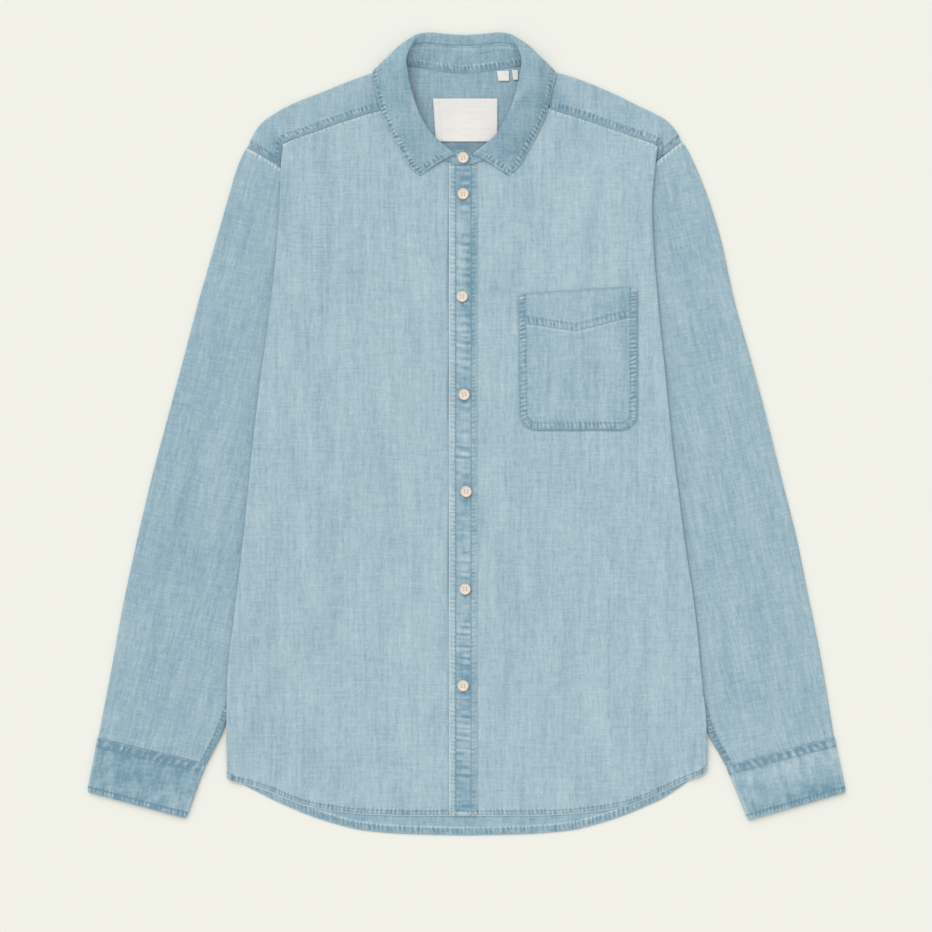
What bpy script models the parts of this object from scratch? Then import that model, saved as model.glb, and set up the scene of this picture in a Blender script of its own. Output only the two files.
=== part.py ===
"""A long-sleeved chambray shirt, buttoned and laid flat on its back.

The sleeves are tucked behind the body, so the side folds lie over them. Sizes are in
millimetres: x to the viewer's right of the shirt's middle, y towards the collar, z up from
the surface. Left and right in the names are the wearer's.
"""

import math

import bmesh
import bpy
import numpy as np

MM = 0.001

# Walls and the room between them
CLOTH = 1.0
TWO_PLY = 1.4
GAP = 0.3
FOLD_ROOM = 1.0
SEAM_RISE = 0.5
SEAM_WIDTH = 7.5
SEAM_STEP = 1.0
TUBE_HEIGHT = 2 * CLOTH + FOLD_ROOM
WRAP = 12.0
LIFT = TUBE_HEIGHT + GAP
FRONT_BASE = CLOTH + GAP

# Body
YOKE_SEAM_Y = 269.0
ARMPIT_Y = 72.0
SIDE_ROUNDING = 28.0
ARMHOLE_BLEND = 30.0
LIFT_RAMP = 70.0
BACK_EASE = 1.2
HEM_RAMP = 20.0
FRONT_LEAD = 7.0
UNDERLAP_X = 9.0
PLACKET_LEFT_X = -17.5
PLACKET_RIGHT_X = 11.3
PLACKET_WALL = 1.2
PLACKET_TOP_Y = 265.0

# Pocket
POCKET_WALL = 1.0
POCKET_CORNER = 17.0
POCKET_SIDES_X = (51.0, 171.0)
POCKET_BOTTOM_Y = 3.6
POCKET_TOP_Y = 140.0
POCKET_TILT = 0.062
POCKET_TOP_DROP = 3.0
POCKET_TAPER = 2.0
POCKET_HEM = 26.0
POCKET_HEM_POINT = 11.0

# Cuffs
CUFF_ROOM = 0.8
CUFF_HEIGHT = 2 * TWO_PLY + CUFF_ROOM
CUFF_CORNER = 3.0
CUFF_EASE = 0.6

# Collar
COLLAR_X = -2.5
COLLAR_WALL = 1.4
COLLAR_SEAM = 1.3
LEAF_ROOM = 2.0
STAND_SHARE = 0.72
STAND_SHARES = (0.0, 0.4, 0.75, 1.0)
COLLAR_SECTIONS = 61

# Buttons and labels
BUTTON_WIDTH = 11.4
BUTTON_HEIGHT = 2.4
BUTTON_HOLE = 1.5
BUTTON_HOLE_SPACING = 2.9
BUTTON_ROWS = ((-3.5, 240.0), (-4.5, 137.5), (-2.5, 39.5), (-0.5, -57.5), (-1.5, -155.0))
BUTTON_ROWS += ((-3.5, -251.5),)
COLLAR_BUTTON = (-3.5, 276.0)
COLLAR_BUTTON_Z = 6.6
LABEL_WALL = 1.0

# Side folds of the body: columns y, right side, left side (both measured outwards).
SIDE_FOLD_ROWS = (
    (291, 183.7, 191.5),
    (262, 186.0, 188.3),
    (230, 187.0, 185.7),
    (192, 189.5, 187.0),
    (125, 196.5, 192.3),
    (59, 205.5, 199.0),
    (-4, 213.0, 205.4),
    (-97, 222.5, 217.0),
    (-184, 232.5, 229.5),
    (-247, 239.3, 235.5),
    (-291, 240.0, 240.0),
    (-336, 239.7, 240.7),
)

# Inner edge of the sleeve under the body, armhole and then underarm: columns y, right, left.
SLEEVE_EDGE_ROWS = (
    (293, 224.0, 215.0),
    (266, 186.0, 186.0),
    (225, 165.0, 165.0),
    (170, 148.0, 147.0),
    (115, 133.0, 131.0),
    (72, 118.0, 116.0),
    (-100, 177.0, 175.0),
    (-200, 211.0, 210.0),
    (-265, 233.0, 232.0),
    (-301, 245.5, 242.5),
    (-331, 261.0, 259.5),
)

# Hems: columns distance from the middle, front hem y, back hem y.
HEM_ROWS = (
    (0, -382.0, -401.5),
    (40, -382.2, -400.7),
    (66, -382.0, -399.8),
    (103, -380.6, -396.5),
    (131, -377.6, -390.0),
    (160, -371.5, -380.5),
    (180, -364.5, -371.5),
    (194, -358.5, -365.0),
    (220, -348.0, -352.5),
    (236, -341.0, -343.5),
    (244, -337.0, -338.5),
)

# Top edges of the fronts, neckline and then yoke seam: columns distance from the middle, y.
FRONT_TOP_ROWS = (
    ((9, 271.0), (30, 278.0), (50, 290.0), (64, 307.0), (77, 327.0), (84, 324.6))
    + ((134, 308.6), (176, 292.6), (180, 288.5), (183, 279.0)),
    ((9, 271.0), (30, 278.0), (50, 290.0), (64, 307.0), (77, 327.0), (84, 324.6))
    + ((134, 308.6), (176, 293.0), (184, 289.4), (188, 285.0), (190.5, 279.0)),
)

# Grid of the body: lanes as shares of the way out to the side fold, and heights of its rows.
LANES = (0.0, 0.14, 0.28, 0.4, 0.5, 0.58, 0.65, 0.72, 0.79, 0.86, 0.925)
BODY_ROWS_Y = (264, 224, 181, 137, 98, 77, 60, 30, -10, -55, -100, -140, -175)
BODY_ROWS_Y += (-200, -225, -248, -268, -286, -303, -318)

# Yoke stations from the armhole to the neck: columns back seam x, shoulder fold x and y,
# front edge x and y, for the right side and then for the left side.
YOKE_RIGHT_ROWS = (
    (187.0, 218.6, 286.4, 185.8, 266.6),
    (181.5, 215.0, 296, 186.0, 274.5),
    (179.5, 213.5, 299, 186.0, 277.5),
    (175.5, 208.0, 307.5, 185.2, 286.0),
    (170.0, 201.5, 314, 181.5, 291.3),
    (148.0, 176.5, 329, 158.0, 300.3),
    (120.0, 139.5, 344, 126.0, 311.9),
    (98.0, 108.0, 356.5, 100.0, 320.3),
    (86.0, 92.0, 361.5, 84.0, 325.4),
    (81.5, 86.5, 362.3, 83.0, 345.0),
    (78.5, 83.0, 362.3, 81.0, 355.0),
)
YOKE_LEFT_ROWS = (
    (185.8, 213.9, 292.3, 191.6, 274.0),
    (183.5, 212.0, 299, 191.4, 280.0),
    (181.5, 211.0, 301, 191.4, 283.0),
    (177.5, 206.0, 307.5, 190.4, 287.0),
    (172.0, 199.5, 314, 185.5, 290.8),
    (148.0, 170.5, 329, 158.0, 300.3),
    (120.0, 139.5, 344, 126.0, 311.9),
    (98.0, 106.0, 357, 100.0, 320.3),
    (86.0, 90.0, 361.5, 84.0, 325.4),
    (80.0, 83.5, 362.3, 79.5, 345.0),
    (76.0, 80.0, 362.3, 77.0, 355.0),
)
YOKE_NECK_X = (74.0, 68.0, 60.0, 50.0, 38.0, 20.0, 0.0)
NECK_EASE = 0.8

# Sleeves, outer edge from the armhole to the cuff: columns y, right x, left x.
SLEEVE_OUTER_ROWS = (
    (293, 215.0, 215.0),
    (287, 219.5, 219.5),
    (269, 228.5, 228.5),
    (239, 237.5, 240.5),
    (194, 250.5, 254.5),
    (134, 267.5, 267.5),
    (74, 283.5, 284.5),
    (14, 299.5, 300.5),
    (-46, 315.5, 315.5),
    (-106, 329.5, 330.5),
    (-166, 342.5, 342.5),
    (-226, 353.5, 354.5),
    (-286, 365.0, 364.8),
    (-304, 368.5, 367.5),
)
ARMHOLE_TOP = (((219.5, 287.0), (185.9, 266.3)), ((215.0, 293.0), (192.0, 273.5)))
CUFF_SEAM = (((368.5, -304.0), (261.3, -329.5)), ((367.5, -303.5), (260.0, -331.5)))
CUFF_END = (((379.5, -357.5), (280.5, -384.0)), ((379.5, -357.5), (281.5, -386.0)))

# Collar sections from the front end to the middle of the back, x outwards from the collar's
# middle: neck seam, roll line, crown of the leaf, edge of the leaf, each x, y, z.
COLLAR_ROWS = (
    ((12, 271.5, 3.5), (8.5, 279, 7.5), (26, 271, 7.0), (44.5, 258, 4.2)),
    ((30, 277, 3.4), (21, 289, 9.0), (41, 281, 8.4), (56.5, 270, 3.7)),
    ((49, 288, 3.4), (34, 301, 11.0), (53, 295, 9.4), (65.5, 286, 3.7)),
    ((64, 306, 3.4), (44, 318, 12.5), (63, 312, 10.4), (75.5, 304, 3.7)),
    ((75, 325, 3.9), (51.5, 339, 14.0), (71, 334, 11.6), (83.5, 325, 4.6)),
    ((80, 342, 4.8), (56, 359, 15.0), (77, 355, 12.6), (88.5, 345, 5.2)),
    ((81, 355, 4.8), (57.5, 374, 15.0), (79, 370, 11.0), (91.5, 361, 4.4)),
    ((76, 364.5, 4.4), (55, 386, 13.0), (73.5, 378.5, 7.4), (85, 367, 1.6)),
    ((64, 370.3, 3.6), (48, 395.5, 9.0), (60, 391, 3.2), (66, 364, 0.7)),
    ((50, 368.9, 2.9), (37, 400.5, 4.4), (40, 397, 0.8), (48, 358, 0.7)),
    ((27, 363.0, 2.9), (19, 400.0, 2.9), (20, 396, 0.7), (25, 353, 0.7)),
    ((0, 360.4, 2.9), (0, 399.2, 2.6), (0, 395, 0.7), (0, 351, 0.7)),
)

# Front ends of the stand, the one beneath and the one on top: neck seam and top edge.
STAND_UNDER_END = (
    ((5.5, 272.0, 3.1), (5.5, 278.5, 3.1)),
    ((-4.0, 271.2, 3.1), (-4.0, 281.0, 3.3)),
    ((-13.0, 271.3, 3.1), (-11.5, 278.0, 3.3)),
)
STAND_OVER_END = (
    ((4.0, 271.0, 4.9), (4.0, 281.5, 5.2)),
    ((-6.0, 270.8, 5.0), (-6.0, 284.3, 5.8)),
    ((-13.0, 271.0, 5.0), (-13.0, 284.0, 5.8)),
    ((-16.5, 273.5, 5.0), (-16.5, 281.0, 5.6)),
)

COLOURS = {
    "body": (0.381, 0.521, 0.591),
    "sleeve": (0.342, 0.479, 0.558),
    "cuff": (0.305, 0.442, 0.533),
    "collar": (0.283, 0.417, 0.509),
    "button": (0.791, 0.716, 0.624),
    "label": (0.847, 0.815, 0.791),
}


def smooth(value):
    t = np.clip(value, 0.0, 1.0)
    return t * t * (3 - 2 * t)


def column_curve(rows, key, value):
    """A smooth curve without overshoot through one column of a table, against another."""
    ordered = sorted(rows, key=lambda row: row[key])
    xs = np.array([row[key] for row in ordered], float)
    ys = np.array([row[value] for row in ordered], float)
    steps = np.diff(xs)
    rates = np.diff(ys) / steps
    slopes = np.zeros(len(xs))
    slopes[0], slopes[-1] = rates[0], rates[-1]
    for i in range(1, len(xs) - 1):
        if rates[i - 1] * rates[i] > 0:
            slopes[i] = 2 / (1 / rates[i - 1] + 1 / rates[i])

    def at(x):
        i = int(np.clip(np.searchsorted(xs, x) - 1, 0, len(steps) - 1))
        t = np.clip((x - xs[i]) / steps[i], 0.0, 1.0)
        a = (1 + 2 * t) * (1 - t) ** 2 * ys[i] + t * (1 - t) ** 2 * steps[i] * slopes[i]
        b = t * t * (3 - 2 * t) * ys[i + 1] + t * t * (t - 1) * steps[i] * slopes[i + 1]
        return float(a + b)

    return at


def straight_curve(rows):
    """Straight runs through a table's two columns."""
    ordered = sorted(rows)
    return lambda x: float(np.interp(x, [r[0] for r in ordered], [r[1] for r in ordered]))


def smooth_path(points, shares):
    """Points on a rounded curve through the given points, at shares of its length."""
    pts = np.array(points, float)
    steps = np.sqrt(np.linalg.norm(np.diff(pts, axis=0), axis=1))
    knots = np.concatenate([[0.0], np.cumsum(np.maximum(steps, 1e-6))])
    slopes = np.gradient(pts, knots, axis=0)
    fine = np.linspace(0.0, knots[-1], 160)
    i = np.clip(np.searchsorted(knots, fine, side="right") - 1, 0, len(knots) - 2)
    h = (knots[i + 1] - knots[i])[:, None]
    t = (fine - knots[i])[:, None] / h
    curve = (
        (1 + 2 * t) * (1 - t) ** 2 * pts[i]
        + t * (1 - t) ** 2 * h * slopes[i]
        + t * t * (3 - 2 * t) * pts[i + 1]
        + t * t * (t - 1) * h * slopes[i + 1]
    )
    run = np.concatenate([[0.0], np.cumsum(np.linalg.norm(np.diff(curve, axis=0), axis=1))])
    wanted = np.array(shares, float) * run[-1]
    return np.stack([np.interp(wanted, run, curve[:, k]) for k in range(3)], axis=1)


RIGHT, LEFT = 0, 1
SIGN = (-1.0, 1.0)
side_fold = [column_curve(SIDE_FOLD_ROWS, 0, 1 + side) for side in (RIGHT, LEFT)]
sleeve_edge = [column_curve(SLEEVE_EDGE_ROWS, 0, 1 + side) for side in (RIGHT, LEFT)]
front_hem = column_curve(HEM_ROWS, 0, 1)
back_hem = column_curve(HEM_ROWS, 0, 2)
front_top = [straight_curve(FRONT_TOP_ROWS[side]) for side in (RIGHT, LEFT)]
back_neck = column_curve([row[0] for row in COLLAR_ROWS[-5:]], 0, 1)


def sleeve_lift(out, y, side):
    """0 on the middle of the body, 1 over the tucked sleeve, smooth between."""
    flat_from = side_fold[side](y) - WRAP - 1.0
    ramp = LIFT_RAMP + (HEM_RAMP - LIFT_RAMP) * smooth((-180 - y) / 90)
    edge = sleeve_edge[side](y) - WRAP - 1.0
    return float(smooth((min(out, flat_from + FRONT_LEAD) - edge + ramp) / ramp))


def armhole_x(side, y):
    """The armhole seam: straight across the shoulder, then curved down to the armpit."""
    (top_x, top_y), (low_x, low_y) = ARMHOLE_TOP[side]
    if y > low_y:
        return low_x + (top_x - low_x) * (y - low_y) / (top_y - low_y)
    blend = float(smooth(1 - (low_y - y) / ARMHOLE_BLEND))
    return sleeve_edge[side](y) + (low_x - sleeve_edge[side](low_y)) * blend


def front_floor(out, y, side):
    """Height of the fronts' inside."""
    rounding = smooth((out - side_fold[side](y) + SIDE_ROUNDING) / SIDE_ROUNDING)
    room = TUBE_HEIGHT - CLOTH - FRONT_BASE
    return FRONT_BASE + room * rounding + LIFT * sleeve_lift(out + FRONT_LEAD, y, side)


def back_floor(out, y, side):
    """Height of the back's underside: flat at the armholes, raised over the sleeves below."""
    below_armpit = 1 - smooth((y - ARMPIT_Y - 6) / 45)
    return LIFT * sleeve_lift(out, y, side) * below_armpit


def collar_lift(out, y):
    """Room for the collar leaf folded under the back of the neck."""
    return LEAF_ROOM * smooth((84 - out) / 10) * smooth((y - 336) / 11)


def material(name, colour, roughness, metallic=0.0):
    made = bpy.data.materials.new(name)
    made.use_nodes = True
    shader = made.node_tree.nodes["Principled BSDF"]
    shader.inputs["Base Color"].default_value = (*colour, 1.0)
    shader.inputs["Roughness"].default_value = roughness
    shader.inputs["Metallic"].default_value = metallic
    made.diffuse_color = (*colour, 1.0)
    return made


def add_object(name, mesh, finish):
    obj = bpy.data.objects.new(name, mesh)
    mesh.materials.append(finish)
    shirt.objects.link(obj)
    return obj


def wall(name, grid, finish, thickness=CLOTH, offset=1.0, ring=False, raised=None, faces_up=True):
    """A sheet of cloth: a grid of points, thickened by Solidify on the side it faces.

    faces_up says which way most of it faces, and None keeps the grid's own turn. raised,
    from 0 to 1 at each point, adds the height of a felled seam or a hem.
    """
    grid = np.array(grid, float)
    rows, columns = grid.shape[:2]
    points = (grid.reshape(-1, 3) * MM).tolist()
    faces = []
    for i in range(rows - 1):
        for j in range(columns if ring else columns - 1):
            k = (j + 1) % columns
            here, beyond = i * columns, (i + 1) * columns
            faces.append((here + j, here + k, beyond + k, beyond + j))
    if faces_up is not None and faces_up != (upward_area(grid.reshape(-1, 3), faces) > 0):
        faces = [face[::-1] for face in faces]
    mesh = bpy.data.meshes.new(name)
    mesh.from_pydata(points, [], faces)
    mesh.shade_smooth()
    obj = add_object(name, mesh, finish)
    solid = obj.modifiers.new("Cloth", "SOLIDIFY")
    solid.offset = offset
    if raised is None:
        solid.thickness = thickness * MM
    else:
        full = thickness + SEAM_RISE
        solid.thickness = full * MM
        group = obj.vertex_groups.new(name="Seams")
        for index, share in enumerate(np.array(raised, float).reshape(-1)):
            group.add([index], (thickness + SEAM_RISE * float(share)) / full, "REPLACE")
        solid.vertex_group = group.name
    return obj


def upward_area(points, faces):
    """Twice the faces' area as seen from above, negative where they face down."""
    corners = points[np.array(faces)]
    a, b = corners[:, 2] - corners[:, 0], corners[:, 3] - corners[:, 1]
    return float(np.sum(a[:, 0] * b[:, 1] - a[:, 1] * b[:, 0]))


def fold_arc(radius, steps=3):
    """Offsets along and up, from the lower layer to the upper one, round a fold."""
    angles = [math.pi * (k + 1) / (steps + 1) for k in range(steps)]
    return [(radius * math.sin(a), radius * (1 - math.cos(a))) for a in angles]


def body_rows(y_top, y_end):
    """Heights of a body panel's rows, the last ones for the hem's band."""
    return [y_top, *BODY_ROWS_Y, y_end + SEAM_WIDTH + SEAM_STEP, y_end + SEAM_WIDTH, y_end]


def hem_band(height=1.0):
    return [0.0] * (len(BODY_ROWS_Y) + 2) + [height] * 2


def front_panel(name, side, middle_x, finish):
    """A front: from the middle edge out to the side fold, round it and a little way under."""
    sign = SIGN[side]
    inner = FOLD_ROOM / 2

    def lane_out(share, y):
        return middle_x if share == 0 else share * (side_fold[side](y) - CLOTH - inner)

    columns = []
    for share in (*LANES, 1.0):
        ys = body_rows(front_top[side](lane_out(share, 288)), front_hem(lane_out(share, -336)))
        outs = [lane_out(share, y) for y in ys]
        columns.append([(sign * out, y, front_floor(out, y, side)) for out, y in zip(outs, ys)])
    bands = [hem_band()] * (len(LANES) + 4)
    edge = columns[-1]
    for along, drop in fold_arc(inner):
        columns.append([(x + sign * along, y, z - drop) for x, y, z in edge])
    for along in (0.0, WRAP / 2, WRAP):
        columns.append([(x - sign * along, y, z - 2 * inner) for x, y, z in edge])
        bands.append(hem_band(0.0))
    return wall(name, columns, finish, raised=bands)


def back_reach(y, side):
    """How far out the back goes: to the armhole, and below it to the front's turned edge."""
    if y >= ARMPIT_Y:
        return armhole_x(side, y) - BACK_EASE
    under_wrap = side_fold[side](y) - CLOTH - FOLD_ROOM / 2 - WRAP - GAP
    armpit_x = armhole_x(side, ARMPIT_Y) - BACK_EASE
    return armpit_x + (under_wrap - armpit_x) * float(smooth((ARMPIT_Y - y) / 45))


def back_panel(finish):
    """The back: on the surface in the middle, over the sleeves at the sides, inside up."""
    columns = []
    bands = []
    right_lanes = [(RIGHT, share) for share in (1.0, *LANES[:0:-1])]
    left_lanes = [(LEFT, share) for share in (*LANES, 1.0)]
    for side, share in right_lanes + left_lanes:
        column = []
        end_out = min(share * side_fold[side](-336), back_reach(-336, side))
        for y in body_rows(YOKE_SEAM_Y - GAP, back_hem(end_out)):
            reach = back_reach(y, side)
            lane = share * side_fold[side](y) if share < 1.0 else reach
            out = min(lane, reach) if y < 40 else share * reach
            column.append((SIGN[side] * out, y, back_floor(out, y, side)))
        columns.append(column)
        bands.append(hem_band(1 - float(smooth((end_out - 110) / 30))))
    return wall("back_panel", columns, finish, raised=bands)


def yoke_station(side, row, seam_on_front):
    """One section of the yoke: back seam, round the shoulder fold, to its front edge."""
    seam_x, fold_x, fold_y, front_x, front_y = row
    inner = FOLD_ROOM / 2
    start = np.array([seam_x, YOKE_SEAM_Y])
    turn = np.array([fold_x, fold_y])
    end = np.array([front_x, front_y])
    leave = (turn - start) / np.linalg.norm(turn - start)
    arrive = (end - turn) / np.linalg.norm(end - turn)
    turn = turn - leave * (CLOTH + inner)
    length = np.linalg.norm(end - turn)
    points = []
    for share in (0, 0.35, 0.73, 0.85, 1.0):
        flat = start + (turn - start) * share
        points.append((*flat, CLOTH + collar_lift(flat[0], flat[1])))
    base = points[-1][2]
    for along, rise in fold_arc(inner):
        points.append((*(turn + leave * along), base + rise))
    top = base + 2 * inner
    finish = front_floor(front_x, front_y, side) if seam_on_front else TUBE_HEIGHT - CLOTH
    band_start = 1 - (SEAM_WIDTH + SEAM_STEP) / length
    shares = (0.0, band_start * 0.5, band_start, 1 - SEAM_WIDTH / length, 1.0)
    if length < 3 * SEAM_WIDTH:
        shares = np.linspace(0, 1, 5)
    for share in shares:
        flat = turn + arrive * length * share
        points.append((*flat, top + (finish - top) * float(smooth(share))))
    return [(SIGN[side] * x, y, z) for x, y, z in points]


def yoke_neck_station(out):
    """One section of the yoke behind the neck, up to the back neckline."""
    reach = back_neck(abs(out)) - NECK_EASE - 3.0 * float(smooth((abs(out) - 62) / 10))
    ys = [YOKE_SEAM_Y, YOKE_SEAM_Y + 32, 336.0, 347.0, reach - SEAM_WIDTH - SEAM_STEP]
    ys += list(np.linspace(reach - SEAM_WIDTH, reach, 8))
    return [(COLLAR_X + out, y, CLOTH + collar_lift(abs(out), y)) for y in ys]


def yoke_panel(finish):
    """The yoke, stations from the right armhole across the neck to the left armhole."""
    stations = []
    bands = []
    for side, rows in ((RIGHT, YOKE_RIGHT_ROWS), (LEFT, YOKE_LEFT_ROWS)):
        part = []
        marks = []
        for index, row in enumerate(rows):
            part.append(yoke_station(side, row, 3 < index))
            if index <= 1:
                marks.append([0.0] * 8 + [1.0] * 5)
            elif 3 < index < 9:
                marks.append([0.0] * 11 + [1.0] * 2)
            else:
                marks.append([0.0] * 13)
        neck = [yoke_neck_station(SIGN[side] * x) for x in YOKE_NECK_X]
        marks += [[0.0] * 13] * len(neck)
        part += neck
        if side == LEFT:
            part = part[-2::-1]
            marks = marks[-2::-1]
        stations += part
        bands += marks
    return wall("yoke", stations, finish, raised=bands, faces_up=False)


def tube(name, side, corners, outer, inner_edge, top, height, ply, finish, rows, shares):
    """A flattened tube lying on the surface, open at both ends."""
    sign = SIGN[side]
    half = height / 2
    angles = (math.pi / 4, math.pi / 2, 3 * math.pi / 4)
    rings = []
    for s in rows:
        left_end = np.array(outer(s))
        right_end = np.array(inner_edge(s))
        across = (right_end - left_end) / np.linalg.norm(right_end - left_end)

        def place(t):
            a, b, c, d = corners
            bend = (1 - s) * (np.array(top(t)) - (np.array(a) * (1 - t) + np.array(b) * t))
            return left_end * (1 - t) + right_end * t + bend

        ring = []
        ring.append((*(place(0) + across * half), 0.0))
        ring += [(*place(t), 0.0) for t in shares]
        ring.append((*(place(1) - across * half), 0.0))
        for a in angles:
            inset = half * (1 - math.sin(a))
            ring.append((*(place(1) - across * inset), half * (1 - math.cos(a))))
        ring.append((*(place(1) - across * half), height))
        ring += [(*place(t), height) for t in reversed(shares)]
        ring.append((*(place(0) + across * half), height))
        for a in angles:
            inset = half * (1 - math.sin(a))
            ring.append((*(place(0) + across * inset), half * (1 + math.cos(a))))
        rings.append([(sign * x, y, z) for x, y, z in ring])
    if side == LEFT:
        rings.reverse()
    return wall(name, rings, finish, ply, offset=-1.0, ring=True, faces_up=None)


def sleeve(side, finish):
    outer_x = column_curve(SLEEVE_OUTER_ROWS, 0, 1 + side)
    top_y = ARMHOLE_TOP[side][0][1]
    seam_outer, seam_inner = CUFF_SEAM[side]
    armpit = (sleeve_edge[side](ARMPIT_Y), ARMPIT_Y)
    start = (outer_x(top_y), top_y)

    def outer(s):
        y = top_y + (seam_outer[1] - top_y) * s
        return outer_x(y), y

    def underarm(s):
        y = ARMPIT_Y + (seam_inner[1] - ARMPIT_Y) * s
        return sleeve_edge[side](y), y

    def armhole(t):
        y = top_y + (ARMPIT_Y - top_y) * t
        return armhole_x(side, y), y

    corners = (start, armpit, seam_inner, seam_outer)
    rows = [0, 0.04, 0.1] + list(np.linspace(0.18, 1.0, 11))
    shares = (0.11, 0.28, 0.46, 0.66, 0.86)
    name = ("sleeve_right", "sleeve_left")[side]
    return tube(name, side, corners, outer, underarm, armhole, TUBE_HEIGHT, CLOTH, finish, rows, shares)


def cuff(side, finish):
    """A cuff, a gap below the sleeve's end, its lower corners slightly rounded."""
    seam_outer, seam_inner = (np.array(p) for p in CUFF_SEAM[side])
    end_outer, end_inner = (np.array(p) for p in CUFF_END[side])
    down = (end_outer - seam_outer) / np.linalg.norm(end_outer - seam_outer)
    across = (seam_inner - seam_outer) / np.linalg.norm(seam_inner - seam_outer)

    def drawn_in(s):
        return CUFF_CORNER * max(0.0, (s - 0.9) / 0.1) ** 2 - CUFF_EASE * (1 - s)

    def outer(s):
        return seam_outer + down * GAP + (end_outer - seam_outer) * s + across * drawn_in(s)

    def inner(s):
        return seam_inner + down * GAP + (end_inner - seam_inner) * s - across * drawn_in(s)

    def top(t):
        return outer(0) * (1 - t) + inner(0) * t

    corners = (outer(0), inner(0), inner(1), outer(1))
    name = ("cuff_right", "cuff_left")[side]
    rows = (0, 0.14, 0.5, 0.88, 0.95, 1.0)
    shares = (0.25, 0.5, 0.75)
    return tube(name, side, corners, outer, inner, top, CUFF_HEIGHT, TWO_PLY, finish, rows, shares)


def placket(finish):
    """The buttonhole band on the left front."""
    columns = []
    bands = []
    edges = (PLACKET_LEFT_X, PLACKET_LEFT_X + 6.5, PLACKET_LEFT_X + 7.5)
    edges += (PLACKET_RIGHT_X - 7.5, PLACKET_RIGHT_X - 6.5, PLACKET_RIGHT_X)
    end_y = front_hem(0) - 0.2
    for k, x in enumerate(edges):
        ys = list(np.linspace(PLACKET_TOP_Y, end_y + 22, 8)) + list(np.linspace(end_y + 18, end_y, 5))
        columns.append([(x, y, FRONT_BASE + CLOTH + GAP + placket_rise(y)) for y in ys])
        bands.append([0.0 if k in (2, 3) else 0.6] * len(ys))
    return wall("placket", columns, finish, PLACKET_WALL, raised=bands)


def placket_rise(y):
    """Clears the raised hem band at the bottom of the front below it."""
    return SEAM_RISE * float(smooth((front_hem(0) + SEAM_WIDTH + 8 - y) / 6))


def pocket_top(share):
    """The pocket's top edge, its ends drawn down a little."""
    x = POCKET_SIDES_X[0] + share * (POCKET_SIDES_X[1] - POCKET_SIDES_X[0])
    ends = smooth((abs(share - 0.5) - 0.42) / 0.08)
    return POCKET_TOP_Y + POCKET_TILT * (x - POCKET_SIDES_X[0]) - POCKET_TOP_DROP * ends


def pocket(finish):
    """The chest pocket: points on the left front moved out, rounded lower corners."""
    left_x, right_x = POCKET_SIDES_X
    columns = []
    bands = []
    bottom = POCKET_BOTTOM_Y
    for share in np.linspace(0, 1, 13):
        top = pocket_top(share)
        column = []
        marks = []
        facing = top - POCKET_HEM - POCKET_HEM_POINT * (1 - abs(2 * share - 1))
        rows = [top, (top + facing) / 2, facing + 0.8, facing]
        corner_y = bottom + POCKET_CORNER
        rows += list(np.linspace(facing, corner_y, 6))[1:]
        for angle in (20, 40, 58, 74, 90):
            rows.append(corner_y - POCKET_CORNER * math.sin(math.radians(angle)))
        for k, y in enumerate(rows):
            drop = max(0.0, corner_y - y) / POCKET_CORNER
            inset = POCKET_CORNER * (1 - math.sqrt(max(0.0, 1 - drop * drop)))
            low_x = left_x + inset + POCKET_TAPER * (top - y) / (top - bottom)
            high_x = right_x - inset
            x = low_x + share * (high_x - low_x)
            column.append((x, y, front_floor(x, y, LEFT) + CLOTH + GAP))
            marks.append(1.0 if k <= 2 else 0.0)
        columns.append(column)
        bands.append(marks)
    return wall("pocket", columns, finish, POCKET_WALL, raised=bands)


def collar_sections(count):
    """Sections of the whole collar, right front end round the back to the left front end."""
    half = [np.array(row, float) for row in COLLAR_ROWS]
    right = [row * np.array([-1, 1, 1]) for row in half]
    full = np.array(right + [row.copy() for row in half[-2::-1]])
    full[:, :, 0] += COLLAR_X
    shares = np.linspace(0, 1, count)
    tracks = [smooth_path(full[:, k], shares) for k in range(full.shape[1])]
    return np.stack(tracks, axis=1)


def collar_path(section, shares):
    """From the neck seam up the stand, over the roll line and down the leaf to its edge."""
    neck, roll, crown, edge = section
    middle = neck + (roll - neck) * 0.62
    middle[2] -= 0.2
    path = smooth_path([neck, middle, roll, crown, edge], shares)
    path[:, 2] = np.maximum(path[:, 2], COLLAR_WALL / 2)
    return path


def stand_end(rows):
    """Short straight sections of the stand's front end."""
    shares = np.array(STAND_SHARES)[:, None]
    return [np.array(neck) * (1 - shares) + np.array(top) * shares for neck, top in rows]


def collar(finish):
    """The stand and the leaf, cut from the same sections at the seam between them."""
    stand = []
    leaf = []
    for section in collar_sections(COLLAR_SECTIONS):
        neck, roll, crown, edge = section
        rise = np.linalg.norm(roll - neck)
        total = rise + np.linalg.norm(crown - roll) + np.linalg.norm(edge - crown)
        seam = STAND_SHARE * rise / total
        start = seam + COLLAR_SEAM / total
        fold = rise / total
        stand.append(collar_path(section, seam * np.array(STAND_SHARES)))
        over = [start, (start + fold) / 2, fold, fold + 0.04]
        leaf.append(collar_path(section, over + list(np.linspace(fold + 0.09, 1, 7))))
    stand = stand_end(STAND_UNDER_END) + stand[1:] + stand_end(STAND_OVER_END)
    wall("collar_stand", stand, finish, COLLAR_WALL, offset=0.0, faces_up=None)
    wall("collar_leaf", leaf, finish, COLLAR_WALL, offset=0.0, faces_up=None)


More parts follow.
